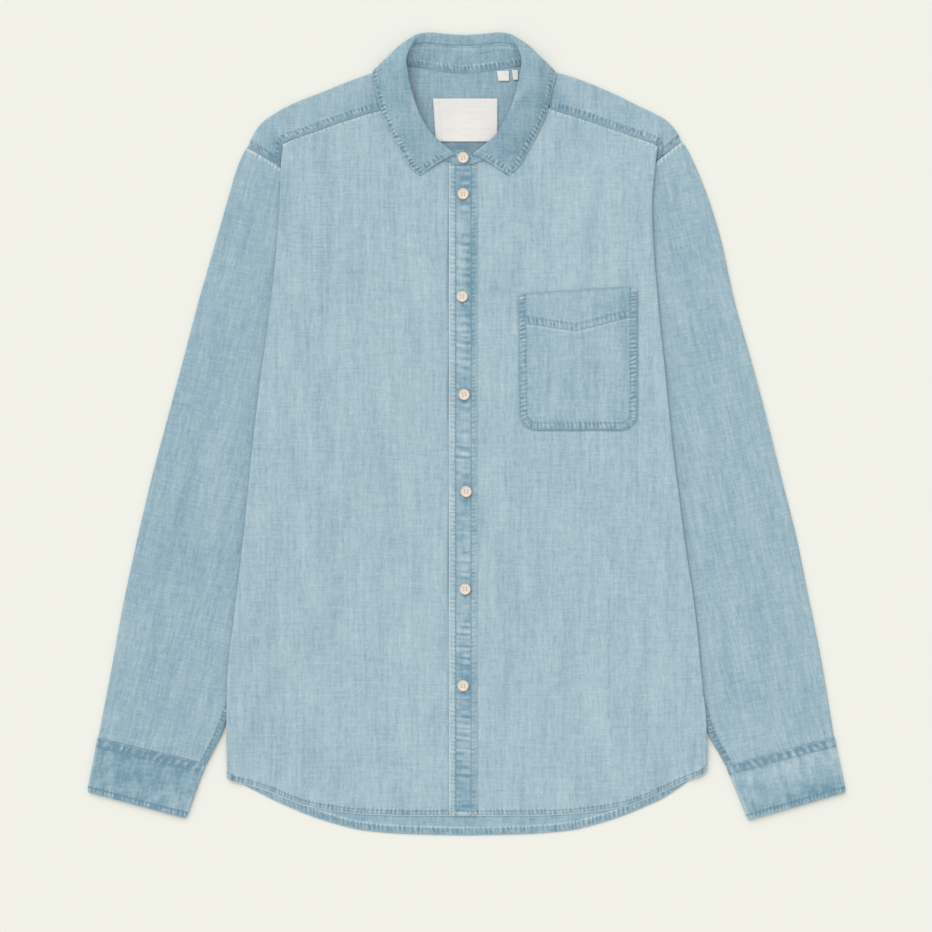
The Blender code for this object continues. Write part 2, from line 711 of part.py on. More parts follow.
def button(name, x, y, z, finish):
    """A turned button with a raised rim and four holes."""
    radius = BUTTON_WIDTH / 2
    profile = (
        (0.0, 0.0),
        (radius * 0.7, 0.0),
        (radius, BUTTON_HEIGHT * 0.45),
        (radius, BUTTON_HEIGHT * 0.8),
        (radius * 0.88, BUTTON_HEIGHT),
        (radius * 0.68, BUTTON_HEIGHT * 0.72),
        (0.0, BUTTON_HEIGHT * 0.72),
    )
    mesh = bpy.data.meshes.new(name)
    built = bmesh.new()
    verts = [built.verts.new((r * MM, 0.0, h * MM)) for r, h in profile]
    edges = [built.edges.new((a, b)) for a, b in zip(verts, verts[1:])]
    bmesh.ops.spin(
        built,
        geom=verts + edges,
        axis=(0, 0, 1),
        cent=(0, 0, 0),
        steps=12,
        angle=2 * math.pi,
    )
    bmesh.ops.remove_doubles(built, verts=built.verts, dist=0.00001)
    bmesh.ops.recalc_face_normals(built, faces=built.faces)
    built.to_mesh(mesh)
    built.free()
    mesh.shade_smooth()
    mesh.set_sharp_from_angle(angle=math.radians(35))
    obj = add_object(name, mesh, finish)
    obj.location = (x * MM, y * MM, z * MM)
    holes = obj.modifiers.new("Holes", "BOOLEAN")
    holes.operation = "DIFFERENCE"
    holes.object = button_cutter(name, obj.location)
    return obj


def button_cutter(name, place):
    """Four rods that cut a button's holes."""
    mesh = bpy.data.meshes.new(name + "_holes")
    built = bmesh.new()
    reach = BUTTON_HOLE_SPACING / 2 * MM
    for sx in (-1, 1):
        for sy in (-1, 1):
            made = bmesh.ops.create_cone(
                built,
                cap_ends=True,
                segments=6,
                radius1=BUTTON_HOLE / 2 * MM,
                radius2=BUTTON_HOLE / 2 * MM,
                depth=4 * BUTTON_HEIGHT * MM,
            )
            bmesh.ops.translate(built, verts=made["verts"], vec=(sx * reach, sy * reach, 0))
    built.to_mesh(mesh)
    built.free()
    cutter = bpy.data.objects.new(name + "_holes", mesh)
    cutters.objects.link(cutter)
    cutter.location = place
    cutter.hide_render = True
    cutter.display_type = "WIRE"
    return cutter


def label(name, x_range, y_range, z_at, finish):
    """A woven label lying on what is under it."""
    columns = []
    for x in np.linspace(*x_range, 5):
        columns.append([(x, y, z_at(x, y)) for y in np.linspace(y_range[1], y_range[0], 4)])
    return wall(name, columns, finish, LABEL_WALL)


def yoke_inside(x, y):
    """Height just above the yoke's inner side, behind the neck."""
    return CLOTH + collar_lift(abs(x - COLLAR_X), y) + GAP


for old in list(bpy.data.objects):
    bpy.data.objects.remove(old, do_unlink=True)
shirt = bpy.data.collections.new("Chambray shirt")
cutters = bpy.data.collections.new("Cutters")
bpy.context.scene.collection.children.link(shirt)
bpy.context.scene.collection.children.link(cutters)

body_cloth = material("Body chambray", COLOURS["body"], 0.85)
sleeve_cloth = material("Sleeve chambray", COLOURS["sleeve"], 0.85)
cuff_cloth = material("Cuff chambray", COLOURS["cuff"], 0.85)
collar_cloth = material("Collar chambray", COLOURS["collar"], 0.85)
button_finish = material("Cream button", COLOURS["button"], 0.3)
label_cloth = material("White label", COLOURS["label"], 0.7)

back_panel(body_cloth)
yoke_panel(body_cloth)
front_panel("front_right", RIGHT, -UNDERLAP_X, body_cloth)
front_panel("front_left", LEFT, UNDERLAP_X + GAP, body_cloth)
placket(body_cloth)
pocket(body_cloth)
for side in (RIGHT, LEFT):
    sleeve(side, sleeve_cloth)
    cuff(side, cuff_cloth)
collar(collar_cloth)
on_placket = FRONT_BASE + CLOTH + GAP + PLACKET_WALL + GAP
for number, (x, y) in enumerate(BUTTON_ROWS, start=1):
    button(f"button_{number}", x, y, on_placket, button_finish)
button("button_collar", *COLLAR_BUTTON, COLLAR_BUTTON_Z, button_finish)
label("label_main", (-33.5, 31.0), (292.5, 335.5), yoke_inside, label_cloth)
label("label_size", (30.5, 42.5), (353.0, 363.0), yoke_inside, label_cloth)
label("label_care", (45.5, 51.5), (354.0, 364.0), yoke_inside, label_cloth)
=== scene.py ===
"""Looks of the chambray shirt: thin cloth shells on the solids' forms, with creases and sewing.

Sizes are in millimetres in the solids' frame: x to the viewer's right of the shirt's middle,
y towards the collar, z up from the surface. Left and right in the names are the wearer's.
"""

import math

import bmesh
import bpy
import numpy as np
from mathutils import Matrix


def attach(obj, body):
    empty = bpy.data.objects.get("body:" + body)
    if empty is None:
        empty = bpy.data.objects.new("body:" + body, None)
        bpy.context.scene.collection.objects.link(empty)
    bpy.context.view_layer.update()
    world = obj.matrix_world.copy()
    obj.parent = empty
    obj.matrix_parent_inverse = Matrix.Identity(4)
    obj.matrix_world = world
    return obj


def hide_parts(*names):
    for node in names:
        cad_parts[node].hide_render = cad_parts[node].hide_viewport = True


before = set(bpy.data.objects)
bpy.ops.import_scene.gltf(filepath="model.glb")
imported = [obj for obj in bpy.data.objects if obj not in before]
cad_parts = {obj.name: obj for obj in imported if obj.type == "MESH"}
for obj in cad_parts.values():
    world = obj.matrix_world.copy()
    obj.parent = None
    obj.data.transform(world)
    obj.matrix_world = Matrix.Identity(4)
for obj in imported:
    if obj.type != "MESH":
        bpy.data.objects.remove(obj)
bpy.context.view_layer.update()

MM = 0.001
RIGHT, LEFT = 0, 1
SIDES = ("right", "left")
SIGN = (-1.0, 1.0)

# Walls of the solids and the room between them
CLOTH = 1.0
TWO_PLY = 1.4
GAP = 0.3
FOLD_ROOM = 1.0
FOLD_RADIUS = FOLD_ROOM / 2
TUBE_HEIGHT = 2 * CLOTH + FOLD_ROOM
WRAP = 12.0
LIFT = TUBE_HEIGHT + GAP
FRONT_BASE = CLOTH + GAP
YOKE_SEAM_Y = 269.0
ARMPIT_Y = 72.0
HEM_CORNER_X = 192.0
HEM_CORNER_Y = -336.0
SHORT_RAMP_Y = -180.0
NECK_LIFT_X = 84.0
NECK_LIFT_Y = 314.0
SIDE_ROUNDING = 28.0
ARMHOLE_BLEND = 30.0
LIFT_RAMP = 70.0
BACK_EASE = 1.2
HEM_RAMP = 20.0
UNDERTURN = 3.0
FRONT_LEAD = 7.0
UNDERLAP_X = 9.0
NECK_EASE = 0.1

# Shells, seams and sewing
SHELL = 0.7
SEAM_WIDTH = 7.5
TUCK = 1.2
TUCK_DROP = 0.8
TUCK_START = (78.0, 86.0)
SHOULDER_LINE = (0.85, 0.52)
HEM_WIDTH = 6.0
HEM_STITCH = 5.0
HEM_DROOP = 1.05
HEM_CORNER_RISE = (0.0, 6.0)
BACK_HEM_WIDTH = 7.0
BACK_HEM_STITCH = 6.2
YOKE_STITCHES = (1.4, 6.8)
YOKE_STITCHED = (0.3, 8.6)  # the stations between which the front seams are sewn
YOKE_SEAM_END, YOKE_UPPER_END = 8.4, 9.4  # the last stations of the seam and of the upper side
YOKE_FOLD = 5.4  # the place across a station where the upper side starts
YOKE_UPPER_SHIFT = 400.0  # gives the yoke's upper side a pattern of its own
UNDERARM_STITCHES = (1.4, 5.8)
SLEEVE_LENGTHS = (600.0, 560.0)  # for distances from the cuff and from the yoke
SLEEVE_TOP = (190.0, 230.0)  # where the grain line to the cuff's middle starts
SLEEVE_TOP_WIDTH = 230.0
UNDERSIDE_SHIFT = 500.0  # gives a tube's lower side a pattern of its own
SHOULDER_Y = 288.0
SHOULDER_TUCK_Y = 258.0
UNDERARM_STITCH_Y = -255.0
EVEN_ROWS_Y = 262.0  # the fronts' rows are even from here down to the hem
THREAD = 0.42
STITCH = 2.3
STITCH_PITCH = 3.0
PUCKER_PITCH = 4.3
YARN_PITCH = 0.84
LEFT_FRONT_SEED = 23.0  # the placket's waves go on from this front's

# Depths of the grid's lines above the hem's edge, and below a front's tucked top edge
HEM_DEPTHS = np.array(
    [14, 12, 10.5, 9.5, 8.8, 8.2, 7.6, 7, 6.4, 5.8, 5.2, 4.6, 4, 3.2, 2.4, 1.6, 0.9, 0.4, 0]
)
TUCK_DEPTHS = np.array([0, 0.7, 1.0, 1.3, 1.6, 1.9, 2.3, 3.0, 4.0, 5.5])

# Placket, pocket, cuffs, collar, buttons and labels
PLACKET_LEFT_X = -17.5
PLACKET_RIGHT_X = 11.3
PLACKET_TOP_Y = 271.6
PLACKET_TUCK_Y = 267.6
PLACKET_BAND = 6.7
PLACKET_SHELL = 0.6
PLACKET_LIFT = 0.45
PLACKET_SHADOW = 1.3
POCKET_WALL = 1.0
POCKET_CORNER = 17.0
POCKET_SIDES_X = (51.0, 171.0)
POCKET_BOTTOM_Y = 3.6
POCKET_TOP_Y = 140.0
POCKET_TILT = 0.062
POCKET_TOP_DROP = 3.0
POCKET_TAPER = 2.0
POCKET_BAND = 7.6
POCKET_EDGE_STITCH = 1.4
FACING_POINT = (109.0, 101.6)
FACING_RISE = (0.155, 0.257)
FACING_STITCHES = (1.2, 8.0)
CUFF_HEIGHT = 2 * TWO_PLY + 0.8
CUFF_CORNER = 0.8
CUFF_EASE = 0.6
CUFF_SHELL = 1.1
CUFF_STITCHES = (1.4, 8.0)
CUFF_END_STITCH = 5.0
COLLAR_X = -2.5
COLLAR_WALL = 1.4
COLLAR_SHELL = 1.1
COLLAR_SEAM = 0.1
LEAF_ROOM = 2.0
LEAF_BAND = 6.0
LEAF_STITCH = 5.6
LEAF_STITCH_START = 16.0
LEAF_FLAT_Z = 3.0  # the leaf is smooth where it lies lower
STAND_SHARE = 0.72
STAND_STITCH = 1.5
BUTTON_WIDTH = 11.4
BUTTON_HEIGHT = 2.4
BUTTON_DISH = 0.72
BUTTON_HOLE = 1.2
BUTTON_HOLE_SPACING = 2.9
BUTTON_Z = 4.1
BUTTON_ROWS = (
    (-3.5, 240.0, 4),
    (-4.5, 137.5, -7),
    (-2.5, 39.5, 10),
    (-0.5, -57.5, -3),
    (-1.5, -155.0, 6),
    (-3.5, -251.5, -9),
)
BUTTONHOLE_LENGTH = 14.5
BUTTONHOLE_DROP = 1.2
BUTTONHOLE_Z = BUTTON_Z - GAP + 0.15
COLLAR_BUTTON = (-3.5, 276.0)
COLLAR_BUTTON_Z = 5.4
COLLAR_BUTTON_TURN = 12
LABEL_WALL = 0.5
LABEL_FOLD = 6.2

# View and light
VIEW_X, VIEW_Y, VIEW_WIDTH, VIEW_Z = -0.5, -32.0, 932.0, 3.0
LENS, SENSOR = 100.0, 36.0
SKY_STRENGTH = 0.70
SUN_STRENGTH = 1.40
SUN_SPREAD = 60
SUN_TILT = (-34, -26)

# Side folds of the body: columns y, right side, left side (both measured outwards).
SIDE_FOLD_ROWS = (
    (291, 183.7, 191.5),
    (262, 186.0, 188.3),
    (230, 187.0, 185.7),
    (192, 189.5, 187.0),
    (125, 196.5, 192.3),
    (59, 205.5, 199.0),
    (-4, 213.0, 205.4),
    (-97, 222.5, 217.0),
    (-184, 232.5, 229.5),
    (-247, 239.3, 235.5),
    (-291, 240.0, 240.0),
    (-336, 239.7, 240.7),
)

# Inner edge of the sleeve under the body, armhole and then underarm: columns y, right, left.
SLEEVE_EDGE_ROWS = (
    (293, 224.0, 215.0),
    (266, 186.0, 186.0),
    (225, 165.0, 165.0),
    (170, 148.0, 147.0),
    (115, 133.0, 131.0),
    (72, 118.0, 116.0),
    (-100, 177.0, 175.0),
    (-200, 211.0, 210.0),
    (-265, 233.0, 232.0),
    (-301, 245.5, 242.5),
    (-331, 261.0, 259.5),
)

# Hems: columns distance from the middle, front hem y, back hem y.
HEM_ROWS = (
    (0, -382.0, -401.5),
    (40, -382.2, -400.7),
    (66, -382.0, -399.8),
    (103, -380.6, -396.5),
    (131, -377.6, -390.0),
    (160, -372.5, -380.5),
    (180, -365.5, -372.0),
    (194, -359.5, -365.8),
    (206, -355.2, -359.6),
    (218, -351.8, -353.6),
    (228, -349.4, -348.4),
    (234, -347.8, -345.8),
    (236.5, -346.6, -344.0),
    (238.5, -344.2, -342.0),
    (244, -336.0, -336.0),
)

# Top edges of the fronts, neckline and then yoke seam: columns distance from the middle, y.
NECKLINE_ROWS = ((9, 271.0), (30, 278.0), (50, 290.0), (64, 307.0), (77, 327.0), (84, 324.6), (134, 308.6))
YOKE_EDGE_ROWS = (
    ((176, 293.0), (180, 291.2), (182.5, 289.3), (183.5, 279.0)),
    ((176, 293.4), (184, 290.8), (188, 288.2), (189.7, 286.6), (190.5, 279.0)),
)

# Yoke stations from the armhole to the neck: columns back seam x, shoulder fold x and y,
# front edge x and y, for the right side and then for the left side.
YOKE_RIGHT_ROWS = (
    (187.0, 218.6, 286.4, 185.8, 266.6),
    (181.5, 215.0, 296, 185.2, 274.5),
    (179.5, 213.5, 299, 185.0, 277.5),
    (175.5, 208.0, 307.5, 184.4, 286.0),
    (170.0, 201.5, 314, 181.8, 290.9),
    (148.0, 176.5, 329, 158.0, 300.3),
    (120.0, 139.5, 344, 126.0, 311.9),
    (98.0, 108.0, 356.5, 100.0, 320.3),
    (86.0, 92.0, 361.5, 84.0, 325.4),
    (81.5, 86.5, 362.3, 83.0, 345.0),
    (78.5, 83.0, 362.3, 81.0, 355.0),
)
YOKE_LEFT_ROWS = (
    (185.8, 213.9, 292.3, 189.9, 274.0),
    (183.5, 212.0, 299, 190.5, 280.0),
    (181.5, 211.0, 301, 190.9, 283.0),
    (177.5, 206.0, 307.5, 190.9, 287.0),
    (172.0, 199.5, 314, 185.5, 290.6),
    (148.0, 170.5, 329, 158.0, 300.3),
    (120.0, 139.5, 344, 126.0, 311.9),
    (98.0, 106.0, 357, 100.0, 320.3),
    (86.0, 90.0, 361.5, 84.0, 325.4),
    (80.0, 83.5, 362.3, 79.5, 345.0),
    (76.0, 80.0, 362.3, 77.0, 355.0),
)
YOKE_NECK_X = (74.0, 68.0, 60.0, 50.0, 38.0, 20.0, 0.0)
YOKE_NECK_YS = (300.0, 312.0, 322.0, 331.0, 340.0)

# Sleeves, outer edge from the armhole to the cuff: columns y, right x, left x.
SLEEVE_OUTER_ROWS = (
    (293, 215.0, 215.0),
    (287, 219.5, 219.5),
    (269, 228.5, 228.5),
    (239, 237.5, 240.5),
    (194, 250.5, 254.5),
    (134, 267.5, 267.5),
    (74, 283.5, 284.5),
    (14, 299.5, 300.5),
    (-46, 315.5, 315.5),
    (-106, 329.5, 330.5),
    (-166, 342.5, 342.5),
    (-226, 353.5, 354.5),
    (-286, 365.0, 364.8),
    (-304, 368.5, 367.5),
)
ARMHOLE_TOP = (((219.5, 287.0), (185.9, 266.3)), ((215.0, 293.0), (192.0, 273.5)))
CUFF_SEAM = (((368.5, -304.0), (261.3, -329.5)), ((367.5, -303.5), (260.0, -331.5)))
CUFF_END = (((379.5, -357.5), (280.5, -384.0)), ((379.5, -357.5), (281.5, -386.0)))

# Collar sections from the front end to the middle of the back, x outwards from the collar's
# middle: neck seam, roll line, crown of the leaf, edge of the leaf, each x, y, z.
COLLAR_ROWS = (
    ((12, 271.3, 3.0), (8.5, 279, 5.2), (26, 271, 4.5), (44.5, 258, 3.1)),
    ((30, 277, 3.05), (21, 289, 7.6), (41, 281, 6.6), (56.5, 270, 3.25)),
    ((49, 288, 3.1), (34, 301, 10.0), (53, 295, 8.4), (65.5, 286, 3.35)),
    ((64, 306, 3.2), (44, 318, 12.5), (63, 312, 10.3), (75.5, 304, 3.5)),
    ((75, 325, 3.9), (51.5, 339, 14.0), (71, 334, 11.6), (83.5, 325, 4.3)),
    ((80, 342, 4.8), (56, 359, 15.0), (77, 355, 12.6), (88.5, 345, 4.8)),
    ((81, 355, 4.8), (57.5, 374, 15.0), (79, 370, 11.0), (91.5, 361, 4.4)),
    ((76, 363.5, 4.4), (53.5, 386, 13.0), (73.5, 378.5, 7.4), (85, 367, 1.6)),
    ((64, 368.3, 3.2), (46.5, 397.5, 9.0), (60, 391, 3.2), (66, 364, 0.7)),
    ((50, 366.9, 2.5), (36.5, 400.8, 4.4), (40, 397, 0.8), (48, 358, 0.7)),
    ((27, 363.0, 2.4), (19, 400.0, 2.9), (20, 396, 0.7), (25, 353, 0.7)),
    ((0, 360.4, 2.4), (0, 399.2, 2.6), (0, 395, 0.7), (0, 351, 0.7)),
)

# Front ends of the stand, the one beneath and the one on top: neck seam and top edge.
STAND_UNDER_END = (
    ((5.5, 272.0, 2.0), (5.5, 278.5, 2.2)),
    ((-4.0, 271.5, 2.0), (-4.0, 281.0, 2.3)),
    ((-13.0, 271.5, 2.3), (-11.5, 278.0, 2.6)),
)
STAND_OVER_END = (
    ((4.0, 269.4, 3.05), (4.0, 281.5, 4.3)),
    ((-6.0, 268.6, 3.15), (-6.0, 284.3, 4.6)),
    ((-13.0, 269.2, 3.35), (-13.0, 284.0, 4.6)),
    ((-16.0, 272.5, 3.55), (-16.0, 281.0, 4.4)),
)

# Soft creases: columns x and y of one end, x and y of the other, half width, height, bow.
RIGHT_FRONT_CREASES = (
    (-120, 236, -104, 96, 7, 0.30, 5),
    (-70, 120, -58, -60, 9, 0.35, -6),
    (-158, 60, -150, -90, 8, -0.25, 6),
    (-188, 150, -172, 10, 6, 0.35, 4),
    (-40, -40, -48, -250, 8, 0.30, 5),
    (-110, -120, -122, -300, 9, 0.35, -5),
    (-190, -160, -206, -310, 7, 0.40, 4),
    (-78, -290, -84, -360, 6, 0.35, 2),
)
LEFT_FRONT_CREASES = (
    (40, 236, 46, 150, 7, 0.30, -4),
    (176, 250, 184, 120, 6, 0.35, -4),
    (186, 90, 196, -80, 6, 0.35, 4),
    (60, -20, 70, -170, 9, 0.35, 5),
    (128, -40, 140, -210, 9, 0.30, -6),
    (34, -180, 40, -330, 7, 0.30, 4),
    (104, -220, 110, -350, 8, 0.35, 4),
    (196, -190, 214, -320, 7, 0.40, -4),
)
RIGHT_SLEEVE_CREASES = (
    (-212, 262, -226, 130, 6, 0.45, 5),
    (-236, 190, -262, 30, 7, 0.40, -6),
    (-222, 60, -240, -90, 6, 0.35, 5),
    (-270, 20, -300, -140, 8, 0.50, 6),
    (-246, -60, -262, -200, 7, 0.45, -5),
    (-306, -110, -330, -250, 7, 0.45, -4),
    (-268, -190, -290, -312, 7, 0.60, 4),
    (-300, -220, -318, -316, 6, 0.60, -3),
    (-336, -236, -350, -308, 6, 0.50, 2),
    (-250, -236, -268, -300, 5, 0.40, 2),
)
LEFT_SLEEVE_CREASES = (
    (206, 258, 216, 150, 6, 0.45, -4),
    (232, 200, 252, 60, 7, 0.40, 5),
    (214, 80, 228, -60, 6, 0.35, -4),
    (262, 40, 286, -110, 8, 0.50, -6),
    (238, -30, 262, -190, 7, 0.45, 5),
    (300, -60, 326, -220, 7, 0.45, 5),
    (262, -180, 288, -306, 7, 0.60, -4),
    (306, -200, 322, -310, 6, 0.60, 3),
    (338, -220, 352, -300, 6, 0.50, -2),
    (246, -240, 266, -310, 5, 0.40, -2),
)
PLACKET_CREASES = (
    (-12, 250, 6, 262, 2.2, 0.50, 1),
    (-12, 243, 2, 232, 2.0, 0.35, -1),
)

# Darker and lighter places: columns x, y, half width, half height, turn in degrees, amount.
BODY_TONES = (
    (-50, 30, 30, 170, 4, 0.16),
    (-45, -250, 40, 90, 0, 0.14),
    (-150, 230, 40, 50, 0, -0.10),
    (-150, -330, 70, 30, -14, -0.14),
    (150, -250, 60, 40, 0, 0.10),
    (110, -130, 90, 50, 0, -0.06),
    (100, 230, 60, 60, 0, 0.10),
    (184, -280, 22, 70, 0, -0.10),
    (-220, -200, 18, 110, -4, -0.10),
)
PLACKET_TONES = (
    (-3, 247, 11, 18, 0, -0.65),
    (4, 168, 5, 66, 0, -0.55),
    (4, 92, 5, 20, 0, -0.35),
    (-3, 42, 11, 17, 0, -0.65),
    (0, -57, 10, 17, 0, -0.60),
    (-7, -98, 5, 22, 0, -0.45),
    (-1, -152, 9, 16, 0, -0.25),
    (-2, -249, 11, 27, 0, -0.60),
    (-3, -352, 14, 22, 0, -0.45),
    (-1, -373.2, 13, 3.0, 0, -1.10),
    (-3, -379, 16, 2.6, 0, 1.20),
    (8, 190, 4, 16, 0, -0.50),
    (7, 150, 4, 26, 0, -0.45),
    (-8, 205, 5, 12, 0, 0.40),
    (-8, 176, 5, 22, 0, 0.45),
    (-6, 196, 5, 6, 0, -0.60),
    (-2, 122, 10, 7, 0, -0.45),
    (-4, -120, 8, 10, 0, 0.25),
    (-5, 105, 6, 30, 0, 0.20),
)
POCKET_TONES = (
    (151, 127, 20, 16, 8, -0.50),
    (58, 130, 7, 14, 0, -0.40),
    (90, 40, 26, 22, 0, -0.14),
    (112, 70, 30, 30, 0, -0.08),
)
YOKE_TONES = (
    (-190, 283, 9, 20, 16, -0.90),
    (-97, 330, 16, 12, 15, -0.50),
    (92, 330, 14, 12, -15, -0.55),
    (190, 284, 7, 14, -10, -0.45),
)
SLEEVE_TONES = (
    (-290, -20, 90, 330, 0, -0.18),
    (-300, -120, 34, 130, 12, -0.14),
    (-330, -280, 60, 26, -14, -0.14),
    (-262, -285, 22, 24, 0, 0.12),
    (-240, 150, 20, 90, 12, -0.08),
    (310, -60, 34, 120, -12, -0.05),
    (290, -290, 30, 24, 14, 0.14),
    (344, -270, 18, 40, -12, -0.12),
    (226, 190, 22, 70, -10, -0.10),
)
CUFF_TONES = (
    (-320, -345, 90, 45, -14, -0.70),
    (-348, -318, 26, 7, -14, -0.75),
    (-290, -330, 20, 7, -14, -0.75),
    (-330, -345, 50, 9, -14, -0.30),
    (-300, -362, 30, 8, -14, 0.35),
    (-330, -372, 60, 7, -14, -0.35),
    (330, -312, 50, 7, 14, -0.40),
    (286, -330, 20, 7, 14, -0.35),
    (320, -334, 50, 8, 14, 0.60),
    (334, -364, 60, 11, 14, -0.85),
    (362, -352, 22, 12, 14, -0.40),
    (300, -352, 22, 10, 14, -0.30),
)
COLLAR_TONES = (
    (-86, 345, 10, 26, 0, -0.30),
    (78, 345, 10, 30, 0, -0.35),
    (46, 300, 16, 20, 30, -0.20),
    (-50, 398, 10, 6, 0, -0.20),
    (44, 398, 12, 6, 0, -0.30),
    (-2, 283, 30, 8, 0, -0.10),
)

# Unevenness of the yarns: columns noise turns a millimetre across and along, detail, weight.
SLUBS = (
    (0.45, 0.40, 1.0, 0.37),
    (0.42, 0.10, 2.0, 0.50),
    (0.30, 0.016, 2.0, 0.42),
    (0.06, 0.015, 2.0, 0.34),
    (0.05, 0.50, 2.0, 0.42),
)
DEEP = (0.165, 0.309, 0.400)
PALE = (0.560, 0.690, 0.730)
DEEP_SHARE = 0.12
# SHADED: the colour that the dark marks mix towards, for painted shade in grooves, gaps and under edges, and
# for the darker seam bands
SHADED = (0.130, 0.195, 0.240)


def smooth(value):
    t = np.clip(value, 0.0, 1.0)
    return t * t * (3 - 2 * t)


def peak(off):
    """1 on a line, fading out on both sides of it, from the distance in half widths."""
    return np.exp(-(off**2))


def spaced(start, *runs):
    """Values from start on, in runs of (end, step)."""
    values = [np.array([start])]
    for end, step in runs:
        count = max(1, round(abs(end - start) / step))
        values.append(np.linspace(start, end, count + 1)[1:])
        start = end
    return np.concatenate(values)


def steps_to(first, last, count):
    """Even steps from one value towards another, without the last of them."""
    return first + (last - first) * np.linspace(0, 1, count)[None, :-1]


def wobble(x, y, seed):
    """Smooth unevenness from -1 to 1, about one wave to a unit, without a repeat that shows."""
    x = np.asarray(x) * 2 * math.pi
    y = np.asarray(y) * 2 * math.pi
    first = np.sin(x + 1.6 * np.sin(0.43 * y + seed) + seed)
    second = np.sin(0.61 * x + y + 2.3 * seed + 1.2 * np.sin(0.37 * x))
    third = np.sin(1.57 * x - 0.53 * y + 4.1 * seed)
    return (first + 0.8 * second + 0.6 * third) / 2.1


def cubic(t, span, first, last, leave, arrive):
    """Between two values or places, with the slopes given at both."""
    value = (1 + 2 * t) * (1 - t) ** 2 * first + t * (1 - t) ** 2 * span * leave
    return value + t * t * (3 - 2 * t) * last + t * t * (t - 1) * span * arrive


def steady_slopes(rates):
    """Slopes that don't overshoot, from the rates of change between the places."""
    same = rates[:-1] * rates[1:] > 0
    total = np.where(same, rates[:-1] + rates[1:], 1.0)
    middle = np.where(same, 2 * rates[:-1] * rates[1:] / total, 0.0)
    return np.concatenate([rates[:1], middle, rates[-1:]])


def column_curve(rows, column=1):
    """A smooth curve without overshoot through one column of a table, against its first."""
    xs, ys = np.array(sorted((row[0], row[column]) for row in rows), float).T
    steps = np.diff(xs)
    slopes = steady_slopes(np.diff(ys) / steps)

    def at(x):
        i = np.clip(np.searchsorted(xs, x) - 1, 0, len(steps) - 1)
        t = np.clip((x - xs[i]) / steps[i], 0.0, 1.0)
        return cubic(t, steps[i], ys[i], ys[i + 1], slopes[i], slopes[i + 1])

    return at


def straight_curve(rows):
    xs, ys = np.array(sorted(rows)).T
    return lambda x: np.interp(x, xs, ys)


def run_lengths(points, axis=0):
    """Distance along one axis of a grid, or along a line, from its first place."""
    total = np.cumsum(np.linalg.norm(np.diff(points, axis=axis), axis=-1), axis=axis)
    return np.concatenate([np.zeros_like(np.take(total, [0], axis=axis)), total], axis=axis)


def smooth_path(points, shares, samples=600):
    """Points on a rounded curve through the given points, at shares of its length."""
    pts = np.array(points, float)
    steps = np.sqrt(np.linalg.norm(np.diff(pts, axis=0), axis=1))
    knots = np.concatenate([[0.0], np.cumsum(np.maximum(steps, 1e-6))])
    slopes = np.gradient(pts, knots, axis=0)
    fine = np.linspace(0.0, knots[-1], samples)
    i = np.clip(np.searchsorted(knots, fine, side="right") - 1, 0, len(knots) - 2)
    span = (knots[i + 1] - knots[i])[:, None]
    t = (fine - knots[i])[:, None] / span
    curve = cubic(t, span, pts[i], pts[i + 1], slopes[i], slopes[i + 1])
    run = run_lengths(curve)
    return np.stack([np.interp(np.array(shares) * run[-1], run, curve[:, k]) for k in range(3)], axis=1)


def refine(points, axis, step):
    """A finer grid through a coarse one, and the coarse place of each of its lines."""
    points = np.moveaxis(np.asarray(points, float), axis, 0)
    chords = np.linalg.norm(np.diff(points, axis=0), axis=-1).mean(axis=1)
    slopes = steady_slopes(np.diff(points, axis=0) / chords[:, None, None])
    places = []
    for k, chord in enumerate(chords):
        count = max(1, math.ceil(chord / step))
        places += list(k + np.arange(count) / count)
    places = np.array([*places, len(chords)])
    i = np.clip(places.astype(int), 0, len(chords) - 1)
    t = (places - i)[:, None, None]
    fine = cubic(t, chords[i][:, None, None], points[i], points[i + 1], slopes[i], slopes[i + 1])
    return np.moveaxis(fine, 0, axis), places


def creases(x, y, rows):
    """Height of soft ridges and troughs, each fading out at both ends."""
    total = np.zeros(np.shape(x))
    for x0, y0, x1, y1, half, height, bow in rows:
        dx, dy = x1 - x0, y1 - y0
        length = math.hypot(dx, dy)
        along = ((x - x0) * dx + (y - y0) * dy) / length**2
        off = ((x - x0) * dy - (y - y0) * dx) / length
        off = off - bow * 4 * along * (1 - along) - 1.2 * np.sin(along * 9 + x0)
        width = half * (0.75 + 0.5 * along)
        total += height * peak(off / width) * smooth(2.6 * (0.5 - abs(along - 0.5)))
    return total


def patches(x, y, rows):
    """Sum of soft places in a table of tones."""
    total = np.zeros(np.shape(x))
    for px, py, half_x, half_y, turn, amount in rows:
        c, s = math.cos(math.radians(turn)), math.sin(math.radians(turn))
        a = ((x - px) * c + (y - py) * s) / half_x
        b = ((y - py) * c - (x - px) * s) / half_y
        total += amount * np.exp(-(a * a + b * b))
    return total


side_fold = [column_curve(SIDE_FOLD_ROWS, 1 + side) for side in (RIGHT, LEFT)]
sleeve_edge = [column_curve(SLEEVE_EDGE_ROWS, 1 + side) for side in (RIGHT, LEFT)]
front_top = [straight_curve(NECKLINE_ROWS + YOKE_EDGE_ROWS[side]) for side in (RIGHT, LEFT)]
front_hem = column_curve(HEM_ROWS, 1)
back_hem = column_curve(HEM_ROWS, 2)
back_neck = column_curve([row[0] for row in COLLAR_ROWS[-5:]])


def sleeve_lift(out, y, side):
    """0 on the middle of the body, 1 over the tucked sleeve, smooth between."""
    flat_from = side_fold[side](y) - WRAP - 1.0
    ramp = LIFT_RAMP + (HEM_RAMP - LIFT_RAMP) * smooth((SHORT_RAMP_Y - y) / 90)
    edge = sleeve_edge[side](y) - WRAP - 1.0
    return smooth((np.minimum(out, flat_from + FRONT_LEAD) - edge + ramp) / ramp)


